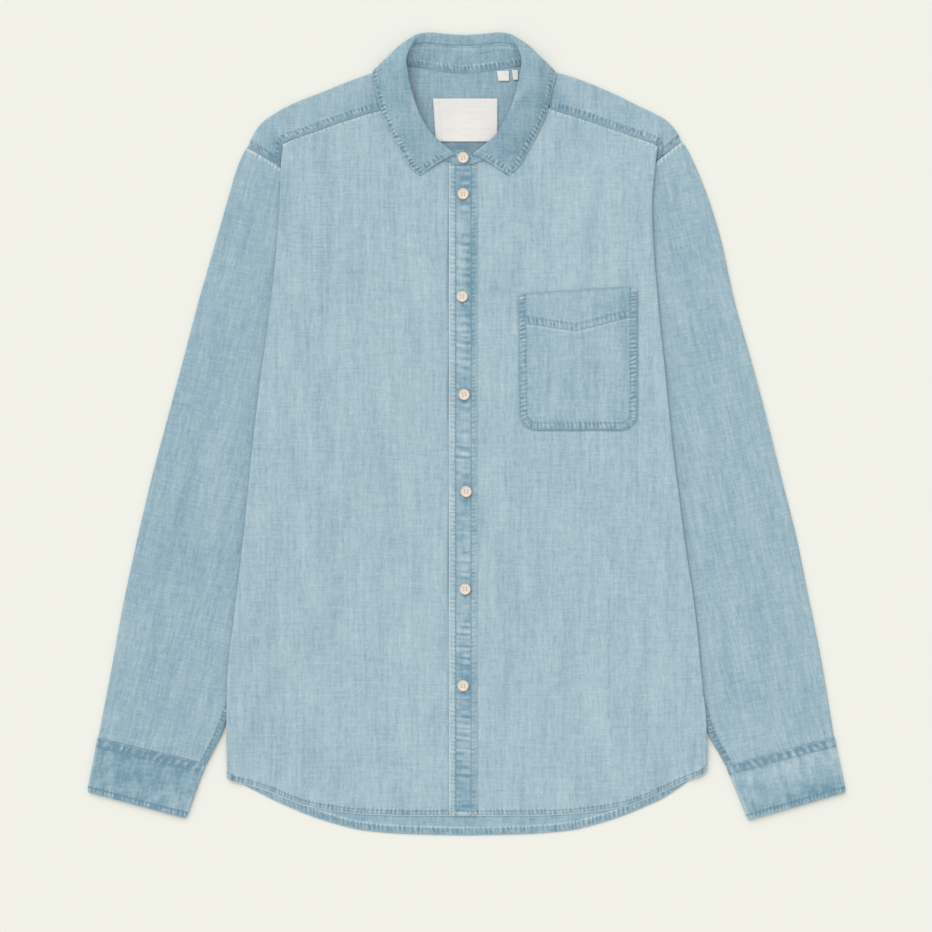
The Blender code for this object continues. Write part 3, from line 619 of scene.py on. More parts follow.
def armhole_x(side, y):
    """The armhole seam: straight across the shoulder, then curved down to the armpit."""
    (top_x, top_y), (low_x, low_y) = ARMHOLE_TOP[side]
    blend = smooth(1 - (low_y - y) / ARMHOLE_BLEND)
    curved = sleeve_edge[side](y) + (low_x - sleeve_edge[side](low_y)) * blend
    return np.where(y > low_y, low_x + (top_x - low_x) * (y - low_y) / (top_y - low_y), curved)


def front_floor(out, y, side):
    """Height of the fronts' inside."""
    rounding = smooth((out - side_fold[side](y) + SIDE_ROUNDING) / SIDE_ROUNDING)
    room = TUBE_HEIGHT - CLOTH - FRONT_BASE
    return FRONT_BASE + room * rounding + LIFT * sleeve_lift(out + FRONT_LEAD, y, side)


def back_floor(out, y, side):
    """Height of the back's underside: flat at the armholes, raised over the sleeves below."""
    return LIFT * sleeve_lift(out, y, side) * (1 - smooth((y - ARMPIT_Y - 6) / 45))


def corner_rise(out, side):
    """How much higher the hem's corner lies on one side than in the table of hems."""
    return HEM_CORNER_RISE[side] * smooth((out - HEM_CORNER_X) / 48)


def collar_lift(out, y):
    """Room for the collar leaf folded under the back of the neck."""
    return LEAF_ROOM * smooth((NECK_LIFT_X - out) / 10) * smooth((y - NECK_LIFT_Y) / 33)


def fold_arc(radius, steps=5):
    """Offsets along and up, from the lower layer to the upper one, round a fold."""
    angles = [math.pi * (k + 1) / (steps + 1) for k in range(steps)]
    return [(radius * math.sin(a), radius * (1 - math.cos(a))) for a in angles]


class Graph:
    """Short ways to build a material's nodes. A value is a number or another node's output."""

    def __init__(self, name):
        self.material = bpy.data.materials.new(name)
        self.material.use_nodes = True
        self.tree = self.material.node_tree
        self.shader = self.tree.nodes["Principled BSDF"]

    def add(self, kind, values=(), **settings):
        node = self.tree.nodes.new(kind)
        for key, value in settings.items():
            setattr(node, key, value)
        for socket, value in dict(values).items():
            self.feed(node.inputs[socket], value)
        return node

    def feed(self, socket, value):
        if isinstance(value, bpy.types.NodeSocket):
            self.tree.links.new(value, socket)
        else:
            socket.default_value = value

    def maths(self, operation, *values, clamp=False):
        return self.add("ShaderNodeMath", enumerate(values), operation=operation, use_clamp=clamp).outputs[0]

    def total(self, *terms):
        """Sum of (weight, value) pairs."""
        result = 0.0
        for weight, value in terms:
            result = self.maths("MULTIPLY_ADD", value, weight, result)
        return result

    def wave(self, turn):
        return self.maths("SINE", turn)

    def parts(self, vector):
        """The three numbers of a vector."""
        return list(self.add("ShaderNodeSeparateXYZ", {0: vector}).outputs)

    def attribute(self, name):
        """The three numbers of a vector stored at the points."""
        return self.parts(self.add("ShaderNodeAttribute", attribute_name=name).outputs["Vector"])

    def place(self, kind, output, scale):
        """The three coordinates that a node gives, scaled."""
        vector = self.add(kind).outputs[output]
        scaled = self.add("ShaderNodeVectorMath", {0: vector, "Scale": scale}, operation="SCALE")
        return self.parts(scaled.outputs[0])

    def noise(self, x, y, z, detail=2.0, roughness=0.5):
        """Noise about zero."""
        place = self.add("ShaderNodeCombineXYZ", {0: x, 1: y, 2: z}).outputs[0]
        values = {"Vector": place, "Scale": 1.0, "Detail": detail, "Roughness": roughness}
        return self.maths("SUBTRACT", self.add("ShaderNodeTexNoise", values).outputs["Fac"], 0.5)

    def mix(self, factor, first, second):
        node = self.add("ShaderNodeMix", data_type="RGBA", clamp_factor=True)
        for socket, value in ((0, factor), (6, first), (7, second)):
            self.feed(node.inputs[socket], (*value, 1.0) if isinstance(value, tuple) else value)
        return node.outputs[2]

    def finish(self, values, height=None, millimetres=1.0):
        """Sets the shader's inputs and its bump, and gives the material."""
        for name, value in values.items():
            self.feed(self.shader.inputs[name], value)
        if height is not None:
            values = {"Height": height, "Distance": millimetres * MM, "Strength": 1.0}
            self.feed(self.shader.inputs["Normal"], self.add("ShaderNodeBump", values).outputs[0])
        return self.material


def chambray(name, shade):
    """Washed chambray: slubby warp, pale weft, puckered seams and worn edges. The light edge marks also hold
    painted highlights, and the dark marks hold painted shade.
    """
    g = Graph(name)
    u, v, seed = g.attribute("weave")
    along, depth, strength = g.attribute("seam")
    dark, edge, tone = g.attribute("marks")

    def uneven(first, second, rates, layer, detail=2.0):
        place = [g.maths("MULTIPLY", value, rate) for value, rate in zip((first, second), rates)]
        return g.noise(*place, g.maths("ADD", seed, 7.3 * layer), detail)

    def above(value, limit):
        return g.maths("MAXIMUM", g.maths("SUBTRACT", value, limit), 0.0)

    yarns = [(row[3], uneven(u, v, row[:2], k, row[2])) for k, row in enumerate(SLUBS)]
    thin_slub = above(uneven(u, v, (0.42, 0.04), 5), 0.10)
    broken = g.maths("MULTIPLY_ADD", uneven(u, v, (0.7, 0.45), 6), 3.0, 1.0)
    pale_pick = above(uneven(u, v, (0.05, 0.80), 7), 0.13)
    cloth = g.total(*yarns, (-0.90, g.maths("MULTIPLY", thin_slub, broken)), (1.3, pale_pick))
    warp, weft = (g.wave(g.maths("MULTIPLY", value, 2 * math.pi / YARN_PITCH)) for value in (u, v))
    threads = g.maths("MULTIPLY", warp, weft)
    drift = uneven(along, depth, (0.10, 0.04), 8)
    phase = g.total((2 * math.pi / PUCKER_PITCH, along), (0.25, depth), (11.0, drift))
    size = g.maths("MULTIPLY_ADD", uneven(along, depth, (0.10, 0.08), 9), 4.4, 1.0)
    bars = g.maths("MULTIPLY", g.wave(phase), size)
    pucker = uneven(along, depth, (0.24, 0.13), 10, 1.5)
    ridge = g.maths("MULTIPLY", g.total((0.42, bars), (2.0, pucker)), strength)
    wear_and_highlight = g.maths("ADD", g.total((0.45, bars), (1.5, uneven(along, depth, (0.20, 0.3), 11))), 0.9)
    # worn: real worn edges, and painted highlights at a few places
    worn = g.maths("MULTIPLY", edge, wear_and_highlight)
    factor = g.total((1.0, cloth), (-0.10, threads), (0.58, ridge), (0.50, worn), (0.34, tone))
    factor = g.maths("ADD", factor, shade + DEEP_SHARE)
    factor = g.maths("DIVIDE", factor, 1 + DEEP_SHARE, clamp=True)
    # Dark marks mix towards SHADED: painted shade in grooves, gaps and under edges, and the darker seam
    # bands.
    shaded = g.maths("MULTIPLY", dark, 0.45, clamp=True)
    values = {
        "Base Color": g.mix(shaded, g.mix(factor, DEEP, PALE), SHADED),
        "Roughness": g.maths("MULTIPLY_ADD", cloth, 0.2, 0.86, clamp=True),
        "Specular IOR Level": 0.22,
        "Sheen Weight": 0.12,
        "Sheen Roughness": 0.6,
    }
    return g.finish(values, g.total((0.035, threads), (0.22, cloth), (0.55, ridge)))


def thread_finish(name, deep, pale):
    g = Graph(name)
    x, y, z = g.place("ShaderNodeNewGeometry", "Position", 1 / MM)
    noise = g.noise(x, y, z)
    twist = g.wave(g.total((7.0, x), (9.0, y)))
    factor = g.maths("ADD", g.total((1.2, noise), (0.12, twist)), 0.5, clamp=True)
    return g.finish({"Base Color": g.mix(factor, deep, pale), "Roughness": 0.6}, twist, 0.04)


def button_finish():
    """Cream polyester with faint clouds, like shell, and painted shade on its rounded rim."""
    g = Graph("Cream button")
    x, y, z = g.place("ShaderNodeTexCoord", "Object", 1 / MM)
    clouds = g.noise(g.maths("MULTIPLY", x, 0.25), g.maths("MULTIPLY", y, 0.5), z, 3.0)
    fine = g.noise(g.maths("MULTIPLY", x, 1.6), g.maths("MULTIPLY", y, 2.6), z)
    factor = g.maths("ADD", g.total((1.6, clouds), (0.5, fine)), 0.5, clamp=True)
    out = g.maths("SQRT", g.maths("ADD", g.maths("MULTIPLY", x, x), g.maths("MULTIPLY", y, y)))
    # Painted shade: the colour turns grey towards the rounded rim.
    rim_shade = g.maths("MULTIPLY", g.maths("SUBTRACT", out, BUTTON_WIDTH / 2 - 1.2), 0.62, clamp=True)
    cream = g.mix(factor, (0.76, 0.65, 0.54), (0.88, 0.80, 0.71))
    values = {
        "Base Color": g.mix(rim_shade, cream, (0.44, 0.46, 0.45)),
        "Roughness": 0.32,
        "Coat Weight": 0.25,
        "Coat Roughness": 0.15,
        "Subsurface Weight": 0.08,
        "Subsurface Radius": (0.002, 0.0015, 0.001),
    }
    return g.finish(values, fine, 0.05)


def label_finish():
    """White woven tape with a fine twill."""
    g = Graph("White woven label")
    u, v, seed = g.attribute("weave")
    dark, _, tone = g.attribute("marks")
    twill = g.wave(g.total((2 * math.pi / 0.55, u), (2 * math.pi / 0.9, v)))
    ribs = g.wave(g.maths("MULTIPLY", v, 2 * math.pi / 0.5))
    cloud = g.noise(g.maths("MULTIPLY", u, 0.08), g.maths("MULTIPLY", v, 0.3), seed, 3.0)
    # dark: painted shade along the folds of the label's ends
    factor = g.total((0.05, twill), (0.05, ribs), (0.5, cloud), (-0.5, dark), (0.4, tone))
    factor = g.maths("ADD", factor, 0.72, clamp=True)
    values = {
        "Base Color": g.mix(factor, (0.66, 0.64, 0.61), (0.91, 0.88, 0.85)),
        "Roughness": 0.55,
        "Sheen Weight": 0.1,
    }
    return g.finish(values, g.total((0.5, twill), (0.5, ribs)), 0.03)


def paper_floor():
    g = Graph("Pale floor")
    x, y, _ = g.place("ShaderNodeNewGeometry", "Position", 40.0)
    factor = g.maths("ADD", g.noise(x, y, 0.0, 3.0), 0.5, clamp=True)
    colour = g.mix(factor, (0.852, 0.852, 0.784), (0.866, 0.866, 0.798))
    return g.finish({"Base Color": colour, "Roughness": 0.95, "Specular IOR Level": 0.0})


class Detail:
    """Relief and marks at each point of a piece's grid."""

    def __init__(self, shape):
        self.relief, self.along, self.depth, self.strength = np.zeros((4, *shape))
        self.dark, self.edge, self.tone, self.band = np.zeros((4, *shape))
        self.count = 0

    def seam(self, depth, along, width, where=1.0, puckers=1.0, rise=0.3, shade=0.5, worn=0.8,
             lines=(1.3,), reach=4.0, cut=1.0):
        """A stitched band: depth is the distance in from its edge, lines the stitch rows."""
        band = (1 - smooth((depth - width) / 1.0)) * smooth((depth + 0.5) / 0.5) * where
        inside = smooth((depth - 0.5) / 1.3) * (1 - smooth((depth - width + 0.2) / 0.9))
        beyond = 0.45 * smooth((depth - width + 0.7) / 0.9) * (1 - smooth((depth - width) / reach))
        strength = puckers * where * np.maximum(inside, beyond)
        nearer = strength > self.strength
        self.count += 1
        self.along = np.where(nearer, along, self.along)
        self.depth = np.where(nearer, depth, self.depth)
        self.band = np.where(nearer, self.count, self.band)
        self.strength = np.maximum(strength, self.strength)
        # Stitch grooves are carved a little and are also painted darker, in tone and in the dark marks. This
        # is painted shade in the groove, and cut scales it.
        groove = sum(peak((depth - line) / 0.6) for line in lines) * where
        slow = wobble(np.asarray(along) / 11.0, np.asarray(depth) / 40.0, 1.7)
        self.relief += rise * band - 0.16 * groove + 0.14 * strength * slow
        self.tone -= 0.9 * shade * band + 0.4 * cut * groove
        self.darken(0.3 * shade * band + 0.75 * cut * groove)
        self.wear_and_highlight(worn * where * (1 - smooth((abs(depth) - 0.5) / 0.9)))

    def gathers(self, depth, along, width, puckers, reach, where=1.0, shade=0.0):
        """Puckers beside a seam, without its stitches."""
        self.seam(depth, along, width, where, puckers, 0.0, shade, 0.0, (), reach)

    # Dark marks: painted shade in grooves, gaps and under edges, and the darker seam bands.
    def darken(self, amount):
        self.dark = np.maximum(self.dark, amount)

    # Light edge marks: real worn edges, and at a few places a painted highlight.
    def wear_and_highlight(self, amount):
        self.edge = np.maximum(self.edge, amount)

    def one_band(self):
        """1 inside a band, 0 where two bands meet, so that their puckers don't mix."""
        same = np.ones(self.band.shape)
        for lines, band in ((same, self.band), (same.T, self.band.T)):
            changed = np.diff(band, axis=0) != 0
            lines[:-1][changed] = 0
            lines[1:][changed] = 0
        return same

    def padded(self, count):
        """Repeats the last line's marks on lines added after it, without its relief."""
        for key, value in vars(self).items():
            if key != "count":
                mode = "constant" if key == "relief" else "edge"
                setattr(self, key, np.pad(value, ((0, count), (0, 0)), mode=mode))
        return self


def grid_faces(rows, columns, ring):
    i, j = np.meshgrid(np.arange(rows - 1), np.arange(columns - (not ring)), indexing="ij")
    k = (j + 1) % columns
    corners = (i * columns + j, i * columns + k, (i + 1) * columns + k, (i + 1) * columns + j)
    return np.stack(corners, axis=-1).reshape(-1, 4)


def point_normals(points, faces):
    a = points[faces[:, 2]] - points[faces[:, 0]]
    b = points[faces[:, 3]] - points[faces[:, 1]]
    cross = np.cross(a, b)
    total = np.zeros_like(points)
    for k in range(4):
        np.add.at(total, faces[:, k], cross)
    return total / np.maximum(np.linalg.norm(total, axis=1, keepdims=True), 1e-9)


def linked(name, data):
    obj = bpy.data.objects.new(name, data)
    bpy.context.scene.collection.objects.link(obj)
    return obj


def mesh_of(name, points, faces, finish):
    """A smooth mesh from points in millimetres."""
    mesh = bpy.data.meshes.new(name)
    mesh.from_pydata((points * MM).tolist(), [], faces)
    mesh.shade_smooth()
    mesh.materials.append(finish)
    return mesh


def shell(name, points, finish, weave, detail, thickness=SHELL, lift=0.0, offset=1.0, ring=False,
          faces_up=True):
    """A thin sheet on a grid of points, and its outer points and normals for the sewing.

    faces_up says which way most of it faces, and None keeps the grid's own turn. lift moves
    it outwards first. The wall goes outwards from there at offset 1, inwards at -1.
    """
    rows, columns = points.shape[:2]
    faces = grid_faces(rows, columns, ring)
    flat = points.reshape(-1, 3).astype(float)
    a, b = flat[faces[:, 2]] - flat[faces[:, 0]], flat[faces[:, 3]] - flat[faces[:, 1]]
    upward = np.sum(a[:, 0] * b[:, 1] - a[:, 1] * b[:, 0]) > 0
    if faces_up is not None and faces_up != upward:
        faces = faces[:, ::-1]
    flat = flat + point_normals(flat, faces) * (lift + detail.relief.reshape(-1, 1))
    mesh = mesh_of(name, flat, faces.tolist(), finish)
    stores = {
        "weave": weave,
        "seam": (detail.along, detail.depth, detail.strength * detail.one_band()),
        "marks": (detail.dark, detail.edge, detail.tone),
    }
    for key, parts in stores.items():
        values = np.stack([np.broadcast_to(part, (rows, columns)) for part in parts], axis=-1)
        store = mesh.attributes.new(key, "FLOAT_VECTOR", "POINT")
        store.data.foreach_set("vector", values.astype(np.float32).ravel())
    obj = linked(name, mesh)
    solid = obj.modifiers.new("Cloth", "SOLIDIFY")
    solid.thickness = thickness * MM
    solid.offset = offset
    normals = point_normals(flat, faces)
    outer = flat + normals * thickness * (offset + 1) / 2
    return obj, outer.reshape(rows, columns, 3), normals.reshape(rows, columns, 3)


def finish_piece(obj, node):
    """Puts a cloth piece in its solid's place, on the root, and hides the solid."""
    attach(obj, "root")
    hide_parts(node)


def at_places(grid, rows, columns):
    """Values of a grid at fractional rows and columns."""
    i = np.clip(np.floor(rows).astype(int), 0, grid.shape[0] - 2)
    j = np.clip(np.floor(columns).astype(int), 0, grid.shape[1] - 2)
    a = (rows - i)[:, None]
    b = (columns - j)[:, None]
    low = grid[i, j] * (1 - b) + grid[i, j + 1] * b
    high = grid[i + 1, j] * (1 - b) + grid[i + 1, j + 1] * b
    return low * (1 - a) + high * a


class Sewing:
    """Stitches gathered from several rows and made as one mesh."""

    def __init__(self, name):
        self.name = name
        self.centres, self.tangents, self.normals, self.sizes = [], [], [], []

    def row(self, made, rows, columns, ends=0.0):
        """Stitches along a line through fractional places of a piece's grid."""
        rows, columns = (np.array(part, float) for part in np.broadcast_arrays(rows, columns))
        self.follow(at_places(made[1], rows, columns), at_places(made[2], rows, columns), ends)

    def over(self, made, corners):
        """Stitches along a line through corners x and y, laid on the piece below it."""
        corners = np.array(corners, float)
        run = run_lengths(corners)
        fine = np.arange(0, run[-1], 0.5)
        places = np.stack([np.interp(fine, run, corners[:, k]) for k in range(2)], axis=1)
        flat, up = made[1].reshape(-1, 3), made[2].reshape(-1, 3)
        nearest = ((places[:, None] - flat[None, :, :2]) ** 2).sum(axis=-1).argmin(axis=1)
        place, up = flat[nearest], up[nearest]
        off = places - place[:, :2]
        z = place[:, 2] - (off * up[:, :2]).sum(axis=1) / np.maximum(up[:, 2], 0.2)
        self.follow(np.column_stack([places, z]), up)

    def follow(self, line, up, ends=0.0):
        run = run_lengths(line)
        count = int((run[-1] - 2 * ends) / STITCH_PITCH)
        middles = ends + (np.arange(count) + 0.5) * STITCH_PITCH

        def along(source, shift=0.0):
            return np.stack([np.interp(middles + shift, run, source[:, k]) for k in range(3)], axis=1)

        self.bars(along(line), along(line, 0.4) - along(line, -0.4), along(up), STITCH, THREAD)

    def bars(self, centres, tangents, normals, length, width):
        self.centres.append(centres)
        self.tangents.append(tangents)
        self.normals.append(normals)
        self.sizes.append(np.tile([length, width], (len(centres), 1)))

    def level_bar(self, place, along, length, width):
        self.bars([place], [along], [(0, 0, 1)], length, width)

    def build(self, finish):
        parts = (self.centres, self.tangents, self.normals, self.sizes)
        centres, tangents, normals, sizes = (np.concatenate(part) for part in parts)
        tangents /= np.maximum(np.linalg.norm(tangents, axis=1, keepdims=True), 1e-9)
        sides = np.cross(normals, tangents)
        sides /= np.maximum(np.linalg.norm(sides, axis=1, keepdims=True), 1e-9)
        ups = np.cross(tangents, sides)
        spin = np.arange(6) * math.pi / 3
        shape = [(-0.5, 0.0, 0.0)]
        for along, girth in ((-0.36, 0.42), (0.0, 0.5), (0.36, 0.42)):
            shape += [(along, girth * math.cos(a), girth * math.sin(a)) for a in spin]
        shape = np.array([*shape, (0.5, 0.0, 0.0)])
        number = np.arange(len(centres))
        tangents = tangents + sides * (0.05 * np.sin(number * 2.4)[:, None])
        length = sizes[:, 0] * (1 + 0.06 * np.sin(number * 1.7))
        points = (
            centres[:, None]
            + tangents[:, None] * (shape[:, 0] * length[:, None])[..., None]
            + sides[:, None] * (shape[:, 1] * sizes[:, 1:2])[..., None]
            + ups[:, None] * (shape[:, 2] * sizes[:, 1:2] * 0.8 + 0.04)[..., None]
        )
        faces = []
        for k in range(6):
            n = (k + 1) % 6
            faces.append((0, 1 + n, 1 + k))
            faces.append((1 + k, 1 + n, 7 + n, 7 + k))
            faces.append((7 + k, 7 + n, 13 + n, 13 + k))
            faces.append((19, 13 + k, 13 + n))
        every = [tuple(p + base for p in face) for base in number * len(shape) for face in faces]
        obj = linked(self.name, mesh_of(self.name, points.reshape(-1, 3), every, finish))
        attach(obj, "root")


def places_at(depth, value):
    """For each line of a grid, the fractional place where a falling depth reaches a value."""
    index = np.arange(depth.shape[1])
    return np.array([np.interp(value, line[::-1], index[::-1]) for line in depth])


def hem_place(count, depth):
    """The fractional column of a depth above the hem, in a grid of so many columns."""
    index = np.arange(count - len(HEM_DEPTHS), count)
    return np.interp(depth, HEM_DEPTHS[::-1], index[::-1])


def front(side, middle_x, finish, crease_rows, seed):
    """A front: from the middle edge out to the side fold, round it and a little way under."""
    sign = SIGN[side]
    share = np.linspace(0, 1, 95)[:, None]

    def out_at(y):
        return middle_x + (side_fold[side](y) - CLOTH - FOLD_RADIUS - middle_x) * share

    seam_y = front_top[side](out_at(SHOULDER_Y))
    top = seam_y + TUCK
    corner = out_at(HEM_CORNER_Y)
    end = front_hem(corner) + corner_rise(corner, side)
    runs = [
        top - TUCK_DEPTHS[:-1],
        steps_to(top - TUCK_DEPTHS[-1], EVEN_ROWS_Y, 12),
        steps_to(EVEN_ROWS_Y, end + HEM_DEPTHS[0], 148),
        end + HEM_DEPTHS,
    ]
    y = np.concatenate(runs, axis=1)
    out = out_at(y)
    x = sign * out
    detail = Detail(out.shape)
    slope = np.clip(np.gradient(end[:, 0], out[:, -1]), -0.6, 0.6)[:, None]
    lean = 1 / np.sqrt(1 + slope**2)
    hem = (y - end) * lean
    detail.seam(hem, out / lean, HEM_WIDTH, lines=(HEM_STITCH,), shade=0.35, worn=1.4, puckers=0.85)
    detail.relief -= HEM_DROOP * (1 - smooth(hem / 3.5))
    detail.darken(PLACKET_SHADOW * peak((x - PLACKET_LEFT_X + 0.9) / 0.7))
    below = seam_y - y
    detail.relief -= TUCK_DROP * (1 - smooth((below + 0.9) / 0.9)) * smooth((out - TUCK_START[side]) / 4)
    detail.wear_and_highlight(0.45 * peak((below - 1.3) / 0.9))
    detail.gathers(below, out, 0.0, 0.9, 7)
    uneven = creases(x, y, crease_rows) + 0.16 * wobble(x / 46, y / 90, seed)
    detail.relief += uneven * smooth(below / 3.0)
    detail.tone += patches(x, y, BODY_TONES) + 0.10 * wobble(x / 60, y / 130, seed + 2)
    points = np.stack([x, y, front_floor(out, y, side)], axis=-1)
    turn = fold_arc(FOLD_RADIUS) + [(-along, FOLD_ROOM) for along in spaced(0, (UNDERTURN, 1.5))]
    added = [points[-1:] + np.array([sign * along, 0, -drop]) for along, drop in turn]
    weave = [np.pad(part, ((0, len(turn)), (0, 0)), mode="edge") for part in (x, y)]
    name = f"front_{SIDES[side]}_cloth"
    made = shell(
        name, np.concatenate([points, *added]), finish, (*weave, seed), detail.padded(len(turn)),
        lift=CLOTH - SHELL,
    )
    sewing = Sewing(name + "_hem_stitches")
    sewing.row(made, np.arange(len(share)), hem_place(y.shape[1], HEM_STITCH))
    return made, sewing


def back_reach(y, side):
    """How far out the back goes: to the armhole, and below it to the front's turned edge."""
    armpit_x = armhole_x(side, ARMPIT_Y) - BACK_EASE
    under_wrap = side_fold[side](y) - CLOTH - FOLD_RADIUS - UNDERTURN - GAP
    below = armpit_x + (under_wrap - armpit_x) * smooth((ARMPIT_Y - y) / 45)
    return np.where(y >= ARMPIT_Y, armhole_x(side, y) - BACK_EASE, below)


def back(finish):
    """The back: on the surface in the middle, over the sleeves at the sides, inside up."""
    halves = []
    for side in (RIGHT, LEFT):
        share = np.linspace(0, 1, 63)[:, None]
        end_out = np.minimum(share * side_fold[side](HEM_CORNER_Y), back_reach(HEM_CORNER_Y, side))
        end = back_hem(end_out) + corner_rise(end_out, side)
        low = end + HEM_DEPTHS[0] + 4
        y = np.concatenate([steps_to(YOKE_SEAM_Y - GAP, low, 120), low, end + HEM_DEPTHS], axis=1)
        reach = back_reach(y, side)
        wide = np.minimum(share * side_fold[side](y), reach)
        blend = smooth((y - 40) / 30)
        out = wide * (1 - blend) + share * reach * blend
        slope = np.gradient(end[:, 0], end_out[:, 0] + np.arange(len(share)) * 1e-6)[:, None]
        depth = (y - end) / np.sqrt(1 + np.clip(slope, -1, 1) ** 2)
        halves.append((np.stack([SIGN[side] * out, y, back_floor(out, y, side)], axis=-1), depth))
    points, depth = (np.concatenate([right[:0:-1], left]) for right, left in zip(*halves))
    x, y = points[..., 0], points[..., 1]
    detail = Detail(x.shape)
    detail.seam(depth, x, BACK_HEM_WIDTH, lines=(BACK_HEM_STITCH,), shade=0.32, worn=0.35, cut=0.4,
                puckers=0.7, reach=1.5)
    detail.seam(depth - BACK_HEM_WIDTH, x, 0.8, puckers=0.4, rise=0.0, shade=0.0, worn=0.7, lines=(),
                reach=2)
    detail.wear_and_highlight(0.8 * peak((depth - 7.7) / 0.6))
    detail.tone += patches(x, y, BODY_TONES) - 0.50 + 0.25 * wobble(x / 24, y / 7, 14.0)
    detail.relief = np.maximum(detail.relief, 0.0)
    made = shell("back_panel_cloth", points, finish, (x, y, 31.0), detail, lift=0.02)
    sewing = Sewing("back_hem_stitches")
    sewing.row(made, np.arange(len(x)), hem_place(x.shape[1], BACK_HEM_STITCH))
    return made, sewing


def yoke_station(side, row, seam_on_front):
    """One section of the yoke: back seam, round the shoulder fold, to its front edge."""
    seam_x, fold_x, fold_y, front_x, front_y = row
    start, turn, end = np.array([(seam_x, YOKE_SEAM_Y), (fold_x, fold_y), (front_x, front_y)])
    leave = (turn - start) / np.linalg.norm(turn - start)
    arrive = (end - turn) / np.linalg.norm(end - turn)
    turn = turn - leave * (CLOTH + FOLD_RADIUS)
    length = np.linalg.norm(end - turn)
    points = []
    for share in (0, 0.35, 0.73, 0.85, 1.0):
        flat = start + (turn - start) * share
        points.append((*flat, CLOTH + collar_lift(*flat)))
    base = points[-1][2]
    points += [(*(turn + leave * along), base + rise) for along, rise in fold_arc(FOLD_RADIUS, 3)]
    top = base + FOLD_ROOM
    last = front_floor(front_x, front_y, side) if seam_on_front else TUBE_HEIGHT - CLOTH
    band = 1 - (SEAM_WIDTH + 1.0) / length
    shares = (0.0, band * 0.5, band, 1 - SEAM_WIDTH / length, 1.0)
    if length < 3 * SEAM_WIDTH:
        shares = np.linspace(0, 1, 5)
    for share in shares:
        points.append((*(turn + arrive * length * share), top + (last - top) * smooth(share)))
    return [(SIGN[side] * x, y, z) for x, y, z in points]


def yoke_neck_station(out):
    """One section of the yoke behind the neck, up to the back neckline."""
    reach = back_neck(abs(out)) - NECK_EASE - 3.0 * smooth((abs(out) - 62) / 10)
    ys = [YOKE_SEAM_Y, *YOKE_NECK_YS, reach - SEAM_WIDTH - 1.0]
    ys += list(np.linspace(reach - SEAM_WIDTH, reach, 6))
    return [(COLLAR_X + out, y, CLOTH + collar_lift(abs(out), y)) for y in ys]


def yoke(finish):
    """The yoke, stations from the right armhole across the neck to the left armhole."""
    stations = []
    for side, rows in ((RIGHT, YOKE_RIGHT_ROWS), (LEFT, YOKE_LEFT_ROWS)):
        part = [yoke_station(side, row, index > 3) for index, row in enumerate(rows)]
        part += [yoke_neck_station(SIGN[side] * x) for x in YOKE_NECK_X]
        stations += part if side == RIGHT else part[-2::-1]
    points, station = refine(stations, 0, 2.0)
    points, column = refine(points, 1, 1.4)
    station = np.minimum(station, len(stations) - 1 - station)[:, None]
    x, y = points[..., 0], points[..., 1]
    across = run_lengths(points, 1)
    from_front = across[:, -1:] - across
    from_right = run_lengths(points)
    from_armhole = np.minimum(from_right, from_right[-1:] - from_right)
    detail = Detail(x.shape)
    on_seam = 1 - smooth((station - YOKE_SEAM_END) / 0.6)
    upper = smooth((column[None] - YOKE_FOLD) / 1.2) * (1 - smooth((station - YOKE_UPPER_END) / 0.6))
    detail.seam(from_front, from_right[:, -1:] + 0 * x, SEAM_WIDTH, where=on_seam * upper,
                lines=YOKE_STITCHES, shade=0.40, worn=0.6, puckers=1.1, reach=2)
    detail.seam(from_armhole, across, SEAM_WIDTH, where=upper, lines=YOKE_STITCHES, shade=0.45,
                worn=0.8, puckers=1.1, reach=2)
    # Painted shade: the inner yoke, seen inside the neck, is toned darker for the shade inside the collar.
    detail.tone += patches(x, y, YOKE_TONES) * upper - 0.22 * upper - 0.60 * (1 - upper)
    # Painted shadow in the neck opening, between the label's foot and the collar's front.
    detail.darken(1.2 * peak((y - 287.5) / 4.5) * peak((x - COLLAR_X) / 24) * (1 - upper))
    detail.relief += 0.10 * wobble(x / 40, y / 30, 5.0) * upper
    made = shell(
        "yoke_cloth", points, finish, (x, y + YOKE_UPPER_SHIFT * upper, 47.0), detail,
        lift=CLOTH - SHELL, faces_up=False,
    )
    sewing = Sewing("yoke_stitches")
    lines = np.arange(len(points))
    for depth in YOKE_STITCHES:
        places = places_at(from_front, depth)
        for half in (RIGHT, LEFT):
            keep = (station[:, 0] > YOKE_STITCHED[0]) & (station[:, 0] < YOKE_STITCHED[1])
            keep &= (lines > len(lines) / 2) == (half == LEFT)
            sewing.row(made, lines[keep], places[keep])
    return made, sewing


